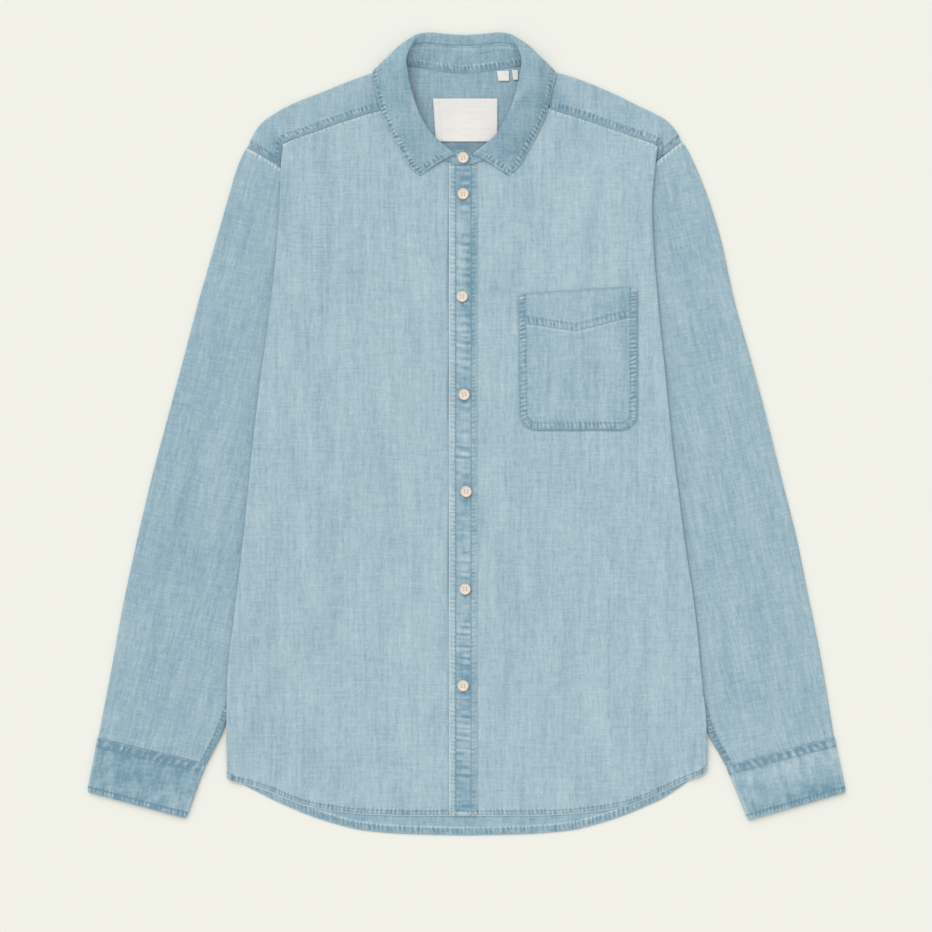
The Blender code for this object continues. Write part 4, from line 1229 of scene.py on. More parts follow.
def tube(side, outer, inner, top, height, rows, shares, under_shares):
    """Grid of a flattened tube on the surface: points, share across, upper side, share along."""
    half = height / 2
    angles = np.array([math.pi * k / 8 for k in range(1, 8)])
    places = [(0.0, half, 0.0)]
    places += [(t, 0.0, 0.0) for t in under_shares]
    places.append((1.0, -half, 0.0))
    places += [(1.0, -half * (1 - math.sin(a)), half * (1 - math.cos(a))) for a in angles]
    places.append((1.0, -half, height))
    places += [(t, 0.0, height) for t in shares[::-1]]
    places.append((0.0, half, height))
    places += [(0.0, half * (1 - math.sin(a)), half * (1 + math.cos(a))) for a in angles]
    t, inset, z = np.array(places).T
    s = np.asarray(rows)[:, None]
    first, last = (np.stack(edge(s[:, 0]), axis=-1)[:, None] for edge in (outer, inner))
    across = (last - first) / np.linalg.norm(last - first, axis=-1, keepdims=True)
    tt = t[None, :, None]
    straight = np.array(outer(0.0)) * (1 - tt) + np.array(inner(0.0)) * tt
    bend = (1 - s)[..., None] * (np.stack(top(t[None]), axis=-1) - straight)
    flat = first * (1 - tt) + last * tt + bend + across * inset[None, :, None]
    points = np.concatenate([flat, np.broadcast_to(z[None, :, None], (*flat.shape[:2], 1))], axis=-1)
    points[..., 0] *= SIGN[side]
    if side == LEFT:
        points, s = points[::-1], s[::-1]
    shape = points.shape[:2]
    return points, np.broadcast_to(t, shape), z[None, :] > half + 0.2, np.broadcast_to(s, shape)


def sleeve_ends(side):
    """Functions for a sleeve's outer edge, underarm and armhole, each from share to x and y."""
    outer_x = column_curve(SLEEVE_OUTER_ROWS, 1 + side)
    top_y = ARMHOLE_TOP[side][0][1]
    seam_outer, seam_inner = CUFF_SEAM[side]

    def outer(s):
        y = top_y + (seam_outer[1] - top_y) * s
        return outer_x(y), y

    def underarm(s):
        y = ARMPIT_Y + (seam_inner[1] - ARMPIT_Y) * s
        return sleeve_edge[side](y), y

    def armhole(t):
        y = top_y + (ARMPIT_Y - top_y) * t
        return armhole_x(side, y), y

    return outer, underarm, armhole


def sleeve(side, finish, crease_rows, seed):
    rows = spaced(0, (0.006, 0.0006), (0.03, 0.0025), (0.955, 0.0062), (0.994, 0.003), (1.0, 0.0006))
    shares = spaced(0.02, (0.86, 0.028), (0.985, 0.0085))
    under_shares = spaced(0.04, (0.96, 0.046))
    points, t, upper, s = tube(side, *sleeve_ends(side), TUBE_HEIGHT, rows, shares, under_shares)
    x, y = points[..., 0], points[..., 1]
    out = SIGN[side] * x
    seam_outer, seam_inner = np.array(CUFF_SEAM[side])
    width = np.linalg.norm(seam_inner - seam_outer)
    grain = (seam_outer + seam_inner) / 2 - np.array(SLEEVE_TOP)
    grain /= np.linalg.norm(grain)
    u = y * grain[0] - out * grain[1]
    v = out * grain[0] + y * grain[1]
    from_arm = (1 - t) * (width + (SLEEVE_TOP_WIDTH - width) * (1 - s))
    from_cuff, from_yoke = (1 - s) * SLEEVE_LENGTHS[0], s * SLEEVE_LENGTHS[1]
    detail = Detail(x.shape)
    detail.seam(from_arm, v, 6.5, lines=UNDERARM_STITCHES, shade=0.9, worn=0.2, reach=3, where=upper)
    detail.gathers(from_cuff, u, 1.0, 0.55, 16, upper, shade=0.5)
    detail.gathers(from_yoke, u, 0.5, 0.5, 9, upper)
    # Painted highlight: a light line on the sleeve head just below the armhole seam.
    detail.wear_and_highlight(0.85 * peak((from_yoke - 1.9) / 0.9) * upper)
    tucked = smooth((y - SHOULDER_TUCK_Y) / 6) * upper
    into_body = np.array([-SIGN[side] * SHOULDER_LINE[1], SHOULDER_LINE[0]])
    points[..., :2] += (TUCK * tucked * (1 - smooth(from_yoke / 5)))[..., None] * into_body
    into_cuff = np.array([SIGN[side] * grain[0], grain[1]])
    points[..., :2] += (TUCK * upper * (1 - smooth(from_cuff / 5)))[..., None] * into_cuff
    bare = smooth((out - side_fold[side](y) - 1) / 8) * upper
    ends = smooth(from_cuff / 6) * smooth(from_yoke / 6)
    sharper = [(*row[:4], row[4] * 0.7, row[5] * 1.6, row[6]) for row in crease_rows]
    gather = 0.5 * wobble(u / 13, from_cuff / 120, seed) * np.exp(-from_cuff / 34)
    rises = creases(x, y, sharper) + 0.22 * wobble(u / 34, v / 120, seed) + gather
    detail.relief += rises * bare * ends
    detail.relief -= TUCK_DROP * tucked * (1 - smooth((from_yoke - 0.2) / 1.0))
    detail.relief -= TUCK_DROP * (1 - smooth((from_cuff - 0.2) / 1.0))
    detail.relief *= upper
    detail.tone += patches(x, y, SLEEVE_TONES) + 0.08 * wobble(u / 50, v / 140, seed + 1)
    # Painted shadow on the sleeve beside the body's side fold, fading outwards, below the shoulder.
    below_shoulder = smooth((ARMHOLE_TOP[side][1][1] - y) / 20)
    detail.darken(0.55 * np.exp(-np.maximum(out - side_fold[side](y), 0) / 3.2) * below_shoulder)
    name = f"sleeve_{SIDES[side]}_cloth"
    weave = (u + UNDERSIDE_SHIFT * (1 - upper), v, seed)
    made = shell(name, points, finish, weave, detail, offset=-1.0, ring=True, faces_up=None)
    sewing = Sewing(name + "_stitches")
    top_side = np.arange(x.shape[1])[(t[0] > 0.5) & upper[0]]
    lines = np.arange(len(x))[y[:, top_side[0]] < UNDERARM_STITCH_Y]
    for depth in UNDERARM_STITCHES:
        sewing.row(made, lines, [np.interp(depth, from_arm[line, top_side], top_side) for line in lines])
    return made, sewing


def cuff(side, finish, seed):
    """A cuff, a gap below the sleeve's end, its lower corners slightly rounded."""
    seam_outer, seam_inner = np.array(CUFF_SEAM[side])
    end_outer, end_inner = np.array(CUFF_END[side])
    length = np.linalg.norm(end_outer - seam_outer)
    down = (end_outer - seam_outer) / length
    across = (seam_inner - seam_outer) / np.linalg.norm(seam_inner - seam_outer)

    def edge(start, end, inwards):
        def at(s):
            s = np.asarray(s)[..., None]
            drawn_in = CUFF_CORNER * np.maximum(0.0, (s - 0.9) / 0.1) ** 2 - CUFF_EASE * (1 - s)
            return np.moveaxis(start + down * GAP + (end - start) * s + inwards * drawn_in, -1, 0)

        return at

    outer, inner = edge(seam_outer, end_outer, across), edge(seam_inner, end_inner, -across)

    def top(t):
        t = t[..., None]
        return np.moveaxis(outer(0.0) * (1 - t) + inner(0.0) * t, -1, 0)

    rows = spaced(0, (0.2, 0.017), (0.8, 0.025), (1.0, 0.014))
    shares, under_shares = spaced(0.03, (0.97, 0.0145)), spaced(0.05, (0.95, 0.045))
    points, t, upper, s = tube(side, outer, inner, top, CUFF_HEIGHT, rows, shares, under_shares)
    x, y = points[..., 0], points[..., 1]
    out = SIGN[side] * x
    u = out * across[0] + y * across[1]
    v = out * down[0] + y * down[1]
    detail = Detail(x.shape)
    from_top, from_end = s * length, (1 - s) * length
    detail.seam(from_top, u * 0.55, 8.6, lines=CUFF_STITCHES, shade=0.40, worn=0.5, reach=4, where=upper,
                puckers=(1.15, 0.76)[side])
    detail.seam(from_end, u * 1.15, 5.4, lines=(5.2,), shade=0.1, worn=0.3, reach=4, where=upper,
                rise=0.1, puckers=0.95, cut=2.2)
    detail.wear_and_highlight(0.35 * np.exp(-np.minimum(t, 1 - t) * 110 / 1.2) * upper)
    detail.tone += patches(x, y, CUFF_TONES) + 0.6 * wobble(u / 13, v / 16, seed) * np.exp(-from_top / 12)
    detail.tone += 0.35 * wobble(u / 20, v / 22, seed + 2) + 0.22 * wobble(u / 12, v / 6, seed + 3)
    soft = 0.22 * wobble(u / 17, v / 40, seed) * smooth(from_top / 5) * smooth(from_end / 5)
    detail.relief = (detail.relief + soft) * upper
    name = f"cuff_{SIDES[side]}_cloth"
    weave = (u + UNDERSIDE_SHIFT * (1 - upper), v, seed)
    made = shell(name, points, finish, weave, detail, CUFF_SHELL, offset=-1.0, ring=True, faces_up=None)
    sewing = Sewing(name + "_stitches")
    columns = np.arange(x.shape[1])[upper[0] & (t[0] > 0.02) & (t[0] < 0.98)]
    rows_at = [(depth, from_top[:, 0]) for depth in CUFF_STITCHES] + [(CUFF_END_STITCH, from_end[:, 0])]
    for depth, line in rows_at:
        order = np.argsort(line)
        sewing.row(made, np.interp(depth, line[order], order), columns, ends=1.5)
    return made, sewing


def placket(finish):
    """The buttonhole band on the left front, puckered between its two stitch rows."""
    end_y = front_hem(0.0) - 0.2
    xs = spaced(PLACKET_LEFT_X, (PLACKET_RIGHT_X, 0.85))
    ys = spaced(PLACKET_TOP_Y, (end_y + 12, 1.5), (end_y, 0.9))
    x, y = np.meshgrid(xs, ys, indexing="ij")
    rise = 0.3 * smooth((end_y + 0.2 + 7.5 + 8 - y) / 6)
    points = np.stack([x, y, FRONT_BASE + CLOTH + GAP + rise], axis=-1)
    detail = Detail(x.shape)
    left, right = x - PLACKET_LEFT_X, PLACKET_RIGHT_X - x
    detail.seam(left, y, PLACKET_BAND, puckers=0.5, shade=0.10, worn=0.75, rise=0.1,
                lines=(PLACKET_BAND,), reach=1, cut=1.6)
    detail.seam(right, y, PLACKET_BAND, puckers=0.4, shade=0.0, worn=0.0, rise=0.1,
                lines=(PLACKET_BAND,), reach=1, cut=1.6)
    detail.seam(y - end_y, x, 5.5, shade=0.3, worn=0.8, lines=(HEM_STITCH,), reach=2)
    middle = smooth((left - PLACKET_BAND + 0.5) / 2) * smooth((right - PLACKET_BAND + 0.5) / 2)
    detail.gathers((left - PLACKET_BAND) * 0.2, 0.52 * y, 3.0, 0.5, 1, middle)
    busy = 0.55 + 0.45 * wobble(y / 95, 0 * y, 4.0)
    low = smooth((-120 - y) / 200)
    wave = wobble(y / (8.2 - 1.2 * low) + 0.012 * x, x / 60, 2.0) * (busy + 0.3 * low)
    detail.relief += 0.42 * wave * middle
    # 0.95 * wave * middle: painted light and shade that follow the wrinkles raised above, lighter on their
    #                       crests and darker in their troughs.
    detail.tone += 0.95 * wave * middle + 1.25 * patches(x, y, PLACKET_TONES) - 0.36
    crease = creases(x, y, PLACKET_CREASES)
    detail.relief += crease + 0.16 * wobble(x / 46, y / 90, LEFT_FRONT_SEED) * smooth((left - 14) / 8)
    detail.relief -= 1.3 * (1 - smooth(right / 5.0)) + 1.3 * smooth((y - PLACKET_TUCK_Y) / 2.0)
    detail.tone += 0.38 * (1 - smooth(right / 5.0)) + 0.75 * (1 - smooth((left - PLACKET_BAND + 1.6) / 1.2))
    # Painted shade along the placket's creases.
    detail.tone -= 1.0 * crease
    detail.relief -= 1.7 * (1 - smooth((y - end_y) / 4.0))
    made = shell("placket_cloth", points, finish, (x, y, 83.0), detail, PLACKET_SHELL,
                 lift=PLACKET_LIFT)
    sewing = Sewing("placket_stitches")
    columns, lines = np.arange(len(ys)), np.arange(len(xs))
    for place in (PLACKET_LEFT_X + PLACKET_BAND, PLACKET_RIGHT_X - PLACKET_BAND):
        sewing.row(made, np.interp(place, xs, lines), columns)
    sewing.row(made, lines, np.interp(HEM_STITCH + end_y, ys[::-1], columns[::-1]))
    return made, sewing


def pocket_place(share, w):
    """Places x and y on the pocket from shares across and down, and the y of its mouth."""
    left_x, right_x = POCKET_SIDES_X
    x_top = left_x + share * (right_x - left_x)
    ends = smooth((abs(share - 0.5) - 0.42) / 0.08)
    top = POCKET_TOP_Y + POCKET_TILT * (x_top - left_x) - POCKET_TOP_DROP * ends
    y = top + (POCKET_BOTTOM_Y - top) * w
    drop = np.clip((POCKET_BOTTOM_Y + POCKET_CORNER - y) / POCKET_CORNER, 0, 1)
    inset = POCKET_CORNER * (1 - np.sqrt(1 - drop**2))
    low_x = left_x + inset + POCKET_TAPER * w
    return low_x + share * (right_x - inset - low_x), y, top


def pocket(finish):
    """The chest pocket, with a pointed facing along its top and rounded lower corners."""
    left_x, right_x = POCKET_SIDES_X
    share = spaced(0, (0.08, 0.0085), (0.92, 0.02), (1, 0.0085))[:, None]
    w = spaced(0, (0.32, 0.0085), (0.84, 0.015), (1.0, 0.0075))[None]
    x, y, top = pocket_place(share, w)
    points = np.stack([x, y, front_floor(x, y, LEFT) + CLOTH + GAP], axis=-1)
    detail = Detail(x.shape)
    low_x = left_x + POCKET_TAPER * w
    bend = POCKET_CORNER * math.pi / 2
    from_left, from_right, from_low = x - low_x, right_x - x, y - POCKET_BOTTOM_Y
    side_gap = np.minimum(from_left, from_right)
    in_corner = (side_gap < POCKET_CORNER) & (from_low < POCKET_CORNER)
    round_gap = POCKET_CORNER - np.hypot(POCKET_CORNER - side_gap, POCKET_CORNER - from_low)
    depth = np.where(in_corner, round_gap, np.minimum(side_gap, from_low))
    angle = np.arctan2(POCKET_CORNER - from_low, np.maximum(POCKET_CORNER - side_gap, 1e-6))
    around = np.where(side_gap < from_low, POCKET_CORNER - from_low, bend + side_gap - POCKET_CORNER)
    around = np.where(in_corner, angle * POCKET_CORNER, around)
    whole = 2 * (bend - POCKET_CORNER) + right_x - low_x
    around = np.where(from_right < from_left, whole - around, around)
    facing = y - facing_y(x)
    inside = smooth((side_gap - 5) / 3)
    detail.seam(facing, x, 8.5, puckers=0.68, shade=0.15, rise=0.12, lines=FACING_STITCHES, reach=4,
                where=inside)
    detail.wear_and_highlight(0.9 * peak((facing + 0.7) / 0.8) * inside)
    detail.relief += 0.25 * smooth(facing / 0.9)
    detail.seam(depth, around, POCKET_BAND, puckers=0.88, shade=0.20, worn=0.3,
                lines=(POCKET_EDGE_STITCH, POCKET_BAND), reach=4)
    from_top = top - y
    corners = peak(from_top / 3) * peak(np.maximum(side_gap - 4, 0) / 4)
    # Painted shadow in the pocket's mouth, along its top edge, except at the corners.
    detail.darken(0.8 * (1 - smooth((from_top - 0.8) / 0.9)) * (1 - corners))
    # Painted highlight at the top corners of the mouth.
    detail.wear_and_highlight(0.9 * corners)
    # Painted shade: darker in the stitched band round the pocket's edge, fading inwards.
    detail.tone += patches(x, y, POCKET_TONES) - 0.16 - 0.3 * np.exp(-np.maximum(depth - POCKET_BAND, 0) / 5)
    detail.relief += 0.18 * wobble(x / 24, y / 36, 3.0) * smooth(depth / 10)
    detail.relief -= 0.55 * (1 - smooth(depth / 2.5))
    made = shell("pocket_cloth", points, finish, (x, y, 97.0), detail, lift=POCKET_WALL - SHELL)
    sewing = Sewing("pocket_stitches")
    for inset in (POCKET_EDGE_STITCH, POCKET_BAND):
        sewing.over(made, pocket_outline(inset))
    across = np.linspace(left_x + 2.5, right_x - 2.0, 40)
    for inset in FACING_STITCHES:
        sewing.over(made, np.column_stack([across, facing_y(across) + inset]))
    return made, sewing


def facing_y(x):
    """Lower edge of the pocket's facing, pointed near its middle."""
    point_x, point_y = FACING_POINT
    off = x - point_x
    return point_y + np.where(off < 0, -FACING_RISE[0] * off, FACING_RISE[1] * off)


def pocket_outline(inset):
    """Places x and y down one side of the pocket, round its foot and up the other side."""
    left_x, right_x = POCKET_SIDES_X
    radius = POCKET_CORNER - inset
    low = POCKET_BOTTOM_Y + POCKET_CORNER
    turn = np.linspace(0, math.pi / 2, 9)
    first_x = left_x + POCKET_TAPER + POCKET_CORNER
    last_x = right_x - POCKET_CORNER
    places = [(left_x + inset, POCKET_TOP_Y - 3)]
    places += [(first_x - radius * math.cos(a), low - radius * math.sin(a)) for a in turn]
    places += [(last_x + radius * math.sin(a), low - radius * math.cos(a)) for a in turn]
    return [*places, (right_x - inset, POCKET_TOP_Y + 3)]


def collar_sections(shares):
    """Sections of the whole collar, right front end round the back to the left front end."""
    half = np.array(COLLAR_ROWS, float)
    full = np.concatenate([half * np.array([-1, 1, 1]), half[-2::-1]])
    full[:, :, 0] += COLLAR_X
    return np.stack([smooth_path(full[:, k], shares, 1500) for k in range(4)], axis=1)


def collar_path(section, shares):
    """From the neck seam up the stand, over the roll line and down the leaf to its edge."""
    neck, roll, crown, edge = section
    middle = neck + (roll - neck) * 0.62
    middle[2] -= 0.2
    path = smooth_path([neck, middle, roll, crown, edge], shares)
    path[:, 2] = np.maximum(path[:, 2], COLLAR_WALL / 2)
    return path


def section_shares(section):
    """Shares of a section's length at the seam between stand and leaf, and a little above it."""
    neck, roll, crown, edge = section
    rise = np.linalg.norm(roll - neck)
    total = rise + np.linalg.norm(crown - roll) + np.linalg.norm(edge - crown)
    share = STAND_SHARE + 0.2 * smooth((abs(roll[0] - COLLAR_X) - 47) / 6)
    return share * rise / total, share * rise / total + COLLAR_SEAM / total


def collar_leaf(finish):
    down = spaced(0, (0.32, 0.022), (0.86, 0.036), (1.0, 0.0115))
    grid = []
    for section in collar_sections(spaced(0, (0.022, 0.0018), (0.978, 0.0042), (1.0, 0.0018))):
        _, start = section_shares(section)
        grid.append(collar_path(section, start + (1 - start) * down))
    points = np.array(grid)
    x, y, z = (points[..., k] for k in range(3))
    fall, around = run_lengths(points, 1), run_lengths(points)
    from_edge = fall[:, -1:] - fall
    from_end = np.minimum(around, around[-1:] - around)
    detail = Detail(x.shape)
    sides = (from_edge, around[:, -1:] + 0 * x, 1.0), (from_end, fall, smooth((fall - 12) / 8))
    for gap, along, where in sides:
        detail.seam(gap, along, LEAF_BAND, lines=(), puckers=1.08, shade=0.35, worn=0.9, reach=2, where=where)
    for gap in (from_edge, from_end):
        detail.wear_and_highlight(0.7 * peak((gap - LEAF_STITCH) / 0.6))
    detail.tone += patches(x, y, COLLAR_TONES) - 0.13 + 0.25 * wobble(around / 50, fall / 30, 6.0)
    detail.relief += 0.14 * wobble(around / 26, fall / 40, 8.0) * smooth(from_edge / 6) * smooth(fall / 10)
    detail.relief = np.where(z < LEAF_FLAT_Z, 0.0, detail.relief)
    made = shell("collar_leaf_cloth", points, finish, (x, y, 113.0), detail, COLLAR_SHELL, offset=0.0,
                 faces_up=None)
    sewing = Sewing("collar_stitches")
    lines, columns = np.arange(len(points)), np.arange(points.shape[1])
    half = len(lines) // 2
    near = np.array([np.interp(LEAF_STITCH, from_end[:half, j], lines[:half]) for j in columns])
    keep = (lines > near[-1]) & (lines[::-1] > near[-1])
    sewing.row(made, lines[keep], places_at(from_edge, LEAF_STITCH)[keep])
    shown = (from_edge[0] > LEAF_STITCH) & (fall[0] > LEAF_STITCH_START)
    for places in (near, len(lines) - 1 - near):
        sewing.row(made, places[shown], columns[shown])
    return made, sewing


def stand_end(rows, shares):
    """Short straight sections of the stand's front end."""
    return [np.array(neck) * (1 - shares[:, None]) + np.array(top) * shares[:, None] for neck, top in rows]


def collar_stand(finish):
    up = np.array([0.0, 0.4, 0.75, 1.0])
    stand = []
    for section in collar_sections(np.linspace(0, 1, 61)):
        seam, _ = section_shares(section)
        stand.append(collar_path(section, seam * up))
    stand = stand_end(STAND_UNDER_END, up) + stand[1:] + stand_end(STAND_OVER_END, up)
    points, _ = refine(stand, 0, 1.9)
    points, _ = refine(points, 1, 1.3)
    x, y = points[..., 0], points[..., 1]
    rise, around = run_lengths(points, 1), run_lengths(points)
    along_neck = around[:, :1] + 0 * x
    behind = smooth((y - 300) / 20)
    below = rise[:, -1:] - rise
    detail = Detail(x.shape)
    detail.seam(rise, along_neck, 6.5, lines=(STAND_STITCH,), puckers=1.1, shade=0.3, worn=0.9, reach=4,
                rise=0.15, where=behind, cut=0.35)
    detail.seam(below, around, 1.0, lines=(), puckers=0.3, shade=0.35, worn=0.2, reach=3, rise=0.0)
    detail.wear_and_highlight(0.7 * peak((below - 4.6) / 0.7))
    detail.wear_and_highlight(0.6 * peak((rise - 7.4) / 0.7) * behind)
    detail.tone += patches(x, y, COLLAR_TONES) - 0.36 + 0.20 * wobble(around / 40, rise / 30, 9.0)
    detail.tone += 0.22 * wobble(around / 9, rise / 7, 12.0)
    made = shell("collar_stand_cloth", points, finish, (along_neck, rise, 131.0), detail, COLLAR_SHELL,
                 offset=0.0, faces_up=None)
    sewing = Sewing("stand_stitches")
    lines = np.arange(len(points))
    column = np.interp(STAND_STITCH, rise[len(points) // 2], np.arange(points.shape[1]))
    obj, outer, normals = made
    sewing.row((obj, outer - normals * COLLAR_SHELL, -normals), lines, column)
    sewing.row(made, lines[-14:], column)
    return made, sewing


def label(name, x_range, y_range, finish, folded, slant):
    """A tape on the yoke's inner side, narrowed by slant at its foot. folded raises its ends where they would
    be turned under.
    """
    step = 1.0 if folded else 0.5
    (first, last), (low, high) = x_range, y_range
    x, y = np.meshgrid(spaced(first, (last, step)), spaced(high, (low, step)), indexing="ij")
    detail = Detail(x.shape)
    if folded:
        ends = np.minimum(x - first, last - x)
        detail.relief += 0.25 * (1 - smooth((ends - 5.5) / 1.2)) + 0.12 * wobble(x / 30, y / 40, 2.0)
        detail.relief += 0.35 * (1 - smooth((y - low) / 7))
        # Painted shade along the fold line of each turned-under end.
        detail.darken(0.35 * peak((ends - LABEL_FOLD) / 0.7))
    else:
        detail.relief += 0.5 * (1 - smooth((y - low) / 6)) + 0.1 * wobble(x / 9, y / 9, 1.0)
    drawn = x + slant * (high - y) / (high - low) * (last - x) / (last - first)
    z = CLOTH + collar_lift(abs(x - COLLAR_X), y) + GAP
    return shell(name, np.stack([drawn, y, z], axis=-1), finish, (x, y, 3.0), detail, LABEL_WALL)


def button_mesh(finish):
    """A turned button: rounded rim, dished middle and four holes."""
    radius = BUTTON_WIDTH / 2
    shoulder = BUTTON_HEIGHT - 0.75
    profile = [(0.0, 0.0), (radius * 0.66, 0.0)]
    for k in range(1, 6):
        a = math.radians(18 * k)
        profile.append((radius * (0.66 + 0.34 * math.sin(a)), 1.1 * (1 - math.cos(a))))
    profile.append((radius, shoulder))
    for k in range(1, 9):
        a = math.radians(22.5 * k)
        profile.append((radius - 0.62 * (1 - math.cos(a)), shoulder + 0.75 * math.sin(a)))
    dish = BUTTON_HEIGHT - BUTTON_DISH
    profile += [(radius - 1.7, dish + 0.02), (radius - 2.4, dish - 0.05)]
    profile += [(1.6, dish - 0.1), (0.0, dish - 0.1)]
    built = bmesh.new()
    verts = [built.verts.new((r * MM, 0.0, h * MM)) for r, h in profile]
    edges = [built.edges.new((a, b)) for a, b in zip(verts, verts[1:])]
    bmesh.ops.spin(built, geom=verts + edges, axis=(0, 0, 1), cent=(0, 0, 0), steps=56, angle=2 * math.pi)
    bmesh.ops.remove_doubles(built, verts=built.verts, dist=0.000005)
    bmesh.ops.recalc_face_normals(built, faces=built.faces)
    rods = bmesh.new()
    reach, bore = BUTTON_HOLE_SPACING / 2 * MM, BUTTON_HOLE / 2 * MM
    for place in ((-reach, -reach, 0), (-reach, reach, 0), (reach, -reach, 0), (reach, reach, 0)):
        rod = bmesh.ops.create_cone(
            rods, cap_ends=True, segments=18, radius1=bore, radius2=bore, depth=4 * BUTTON_HEIGHT * MM
        )
        bmesh.ops.translate(rods, verts=rod["verts"], vec=place)
    made = []
    for name, source in (("Holes", rods), ("Blank", built)):
        mesh = bpy.data.meshes.new(name)
        source.to_mesh(mesh)
        source.free()
        made.append(linked(name, mesh))
    cutter, blank = made
    blank.modifiers.new("Holes", "BOOLEAN").object = cutter
    graph = bpy.context.evaluated_depsgraph_get()
    cut = bpy.data.meshes.new_from_object(blank.evaluated_get(graph))
    for obj in made:
        bpy.data.objects.remove(obj, do_unlink=True)
    cut.materials.clear()
    cut.materials.append(finish)
    cut.shade_smooth()
    cut.set_sharp_from_angle(angle=math.radians(50))
    return cut


def button(node, mesh, sewing, x, y, z, turn):
    """A button, and strands from hole to hole over its dished middle."""
    obj = linked(node + "_turned", mesh)
    obj.location = (x * MM, y * MM, z * MM)
    obj.rotation_euler = (0, 0, math.radians(turn))
    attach(obj, "root")
    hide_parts(node)
    across, along = math.cos(math.radians(turn)), math.sin(math.radians(turn))
    for side in SIGN:
        for shift in (-0.3, 0.0, 0.3):
            off = side * BUTTON_HOLE_SPACING / 2 + shift
            place = (x + off * across, y + off * along, z + BUTTON_HEIGHT - BUTTON_DISH)
            sewing.level_bar(place, (-along, across, 0.0), BUTTON_HOLE_SPACING + 1.0, THREAD)


def buttonhole(sewing, x, y, z):
    """Dense bars on both sides of a slit, and bars across each end."""
    half = BUTTONHOLE_LENGTH / 2
    count = int(BUTTONHOLE_LENGTH / THREAD)
    for side in SIGN:
        for k in range(count):
            off = (k + 0.5) / count * BUTTONHOLE_LENGTH - half
            sewing.level_bar((x + side * 0.85, y + off, z), (1, 0.12 * side, 0), 1.5, 0.40)
    for side in SIGN:
        for k in range(3):
            off = side * (half + 0.1 + 0.35 * k)
            sewing.level_bar((x, y + off, z), (1, 0, 0), 2.6, THREAD)


seams = []


def sew(made, sewing, node, slot, flat, area=None, rests_on=()):
    """Finishes a sewn piece and keeps its stitches for the end."""
    finish_piece(made[0], node)
    seams.append(sewing)


scene = bpy.context.scene
scene.view_settings.view_transform = "Standard"
view = bpy.data.cameras.new("View")
view.sensor_width = SENSOR
view.lens = LENS
view.clip_end = 20.0
eye = linked("View", view)
eye.location = (VIEW_X * MM, VIEW_Y * MM, VIEW_Z * MM + VIEW_WIDTH * MM * LENS / SENSOR)
scene.camera = eye

body_cloth = chambray("Body chambray", 0.455)
sleeve_cloth = chambray("Sleeve chambray", 0.36)
cuff_cloth = chambray("Cuff chambray", 0.34)
collar_cloth = chambray("Collar chambray", 0.28)
thread = thread_finish("Blue thread", (0.20, 0.33, 0.42), (0.47, 0.60, 0.66))
button_thread = thread_finish("Cream thread", (0.62, 0.55, 0.46), (0.78, 0.72, 0.62))
label_cloth = label_finish()
button_plastic = button_finish()

on_back, on_front, on_yoke = ["back_panel_cloth"], ["front_left_cloth"], ["yoke_cloth"]
sew(*back(body_cloth), "back_panel", "body_cloth", (0.482, 0.671), 0.268)
sew(*yoke(body_cloth), "yoke", "body_cloth", (0.44, 0.15), 0.045, on_back)
for side, middle_x, crease_rows, seed, width, area in (
    (RIGHT, -UNDERLAP_X, RIGHT_FRONT_CREASES, 11.0, 0.262, 0.160),
    (LEFT, UNDERLAP_X + GAP, LEFT_FRONT_CREASES, LEFT_FRONT_SEED, 0.244, 0.146),
):
    made, sewing = front(side, middle_x, body_cloth, crease_rows, seed)
    sew(made, sewing, f"front_{SIDES[side]}", "body_cloth", (width, 0.71), area, on_back)
sew(*placket(body_cloth), "placket", "body_cloth", (0.029, 0.648), None, on_front)
sew(*pocket(body_cloth), "pocket", "body_cloth", (0.12, 0.143), None, on_front)
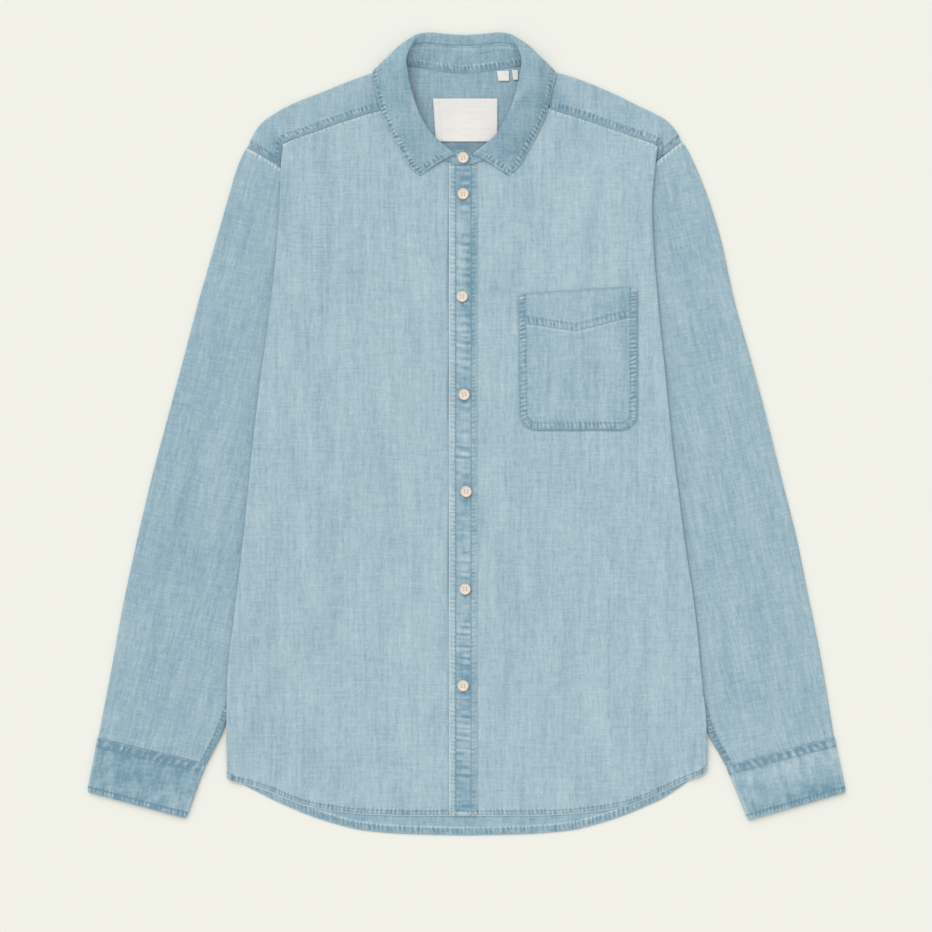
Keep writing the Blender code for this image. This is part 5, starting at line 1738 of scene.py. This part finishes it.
for side, crease_rows, seed in ((RIGHT, RIGHT_SLEEVE_CREASES, 53.0), (LEFT, LEFT_SLEEVE_CREASES, 67.0)):
    made, sewing = sleeve(side, sleeve_cloth, crease_rows, seed)
    sew(made, sewing, f"sleeve_{SIDES[side]}", "sleeve_cloth", (0.46, 0.63), 0.185)
    sew(*cuff(side, cuff_cloth, seed + 5), f"cuff_{SIDES[side]}", "cuff_cloth", (0.222, 0.055))
sew(*collar_stand(collar_cloth), "collar_stand", "collar_cloth", (0.42, 0.03), 0.0100, on_yoke)
sew(*collar_leaf(collar_cloth), "collar_leaf", "collar_cloth", (0.47, 0.056), 0.0195, on_yoke)

for node, x_range, y_range, flat, area, slant in (
    ("label_main", (-33.5, 31.0), (292.5, 335.5), (0.0645, 0.043), None, 2.8),
    ("label_size", (30.5, 42.5), (353.0, 363.0), (0.012, 0.010), None, 1.4),
    ("label_care", (45.5, 51.5), (354.0, 364.0), (0.010, 0.010), 0.00006, 1.2),
):
    made = label(node + "_cloth", x_range, y_range, label_cloth, node == "label_main", slant)
    finish_piece(made[0], node)

button_strands = Sewing("button_threads")
holes = Sewing("buttonholes")
turned = button_mesh(button_plastic)
for number, (x, y, turn) in enumerate(BUTTON_ROWS, start=1):
    button(f"button_{number}", turned, button_strands, x, y, BUTTON_Z, turn)
    buttonhole(holes, x, y - BUTTONHOLE_DROP, BUTTONHOLE_Z)
button("button_collar", turned, button_strands, *COLLAR_BUTTON, COLLAR_BUTTON_Z, COLLAR_BUTTON_TURN)
button_strands.build(button_thread)
for sewing in (*seams, holes):
    sewing.build(thread)

bpy.ops.mesh.primitive_plane_add(size=8, location=(0, 0, -0.0003))
floor = bpy.context.object
floor.name = "Floor"
floor.data.materials.append(paper_floor())

world = bpy.data.worlds.new("Studio")
scene.world = world
world.use_nodes = True
sky = world.node_tree.nodes["Background"].inputs
sky["Color"].default_value = (1.0, 1.0, 1.0, 1.0)
sky["Strength"].default_value = SKY_STRENGTH
lamp = bpy.data.lights.new("Softbox", "SUN")
lamp.energy = SUN_STRENGTH
lamp.angle = math.radians(SUN_SPREAD)
linked("Softbox", lamp).rotation_euler = (*(math.radians(tilt) for tilt in SUN_TILT), 0)
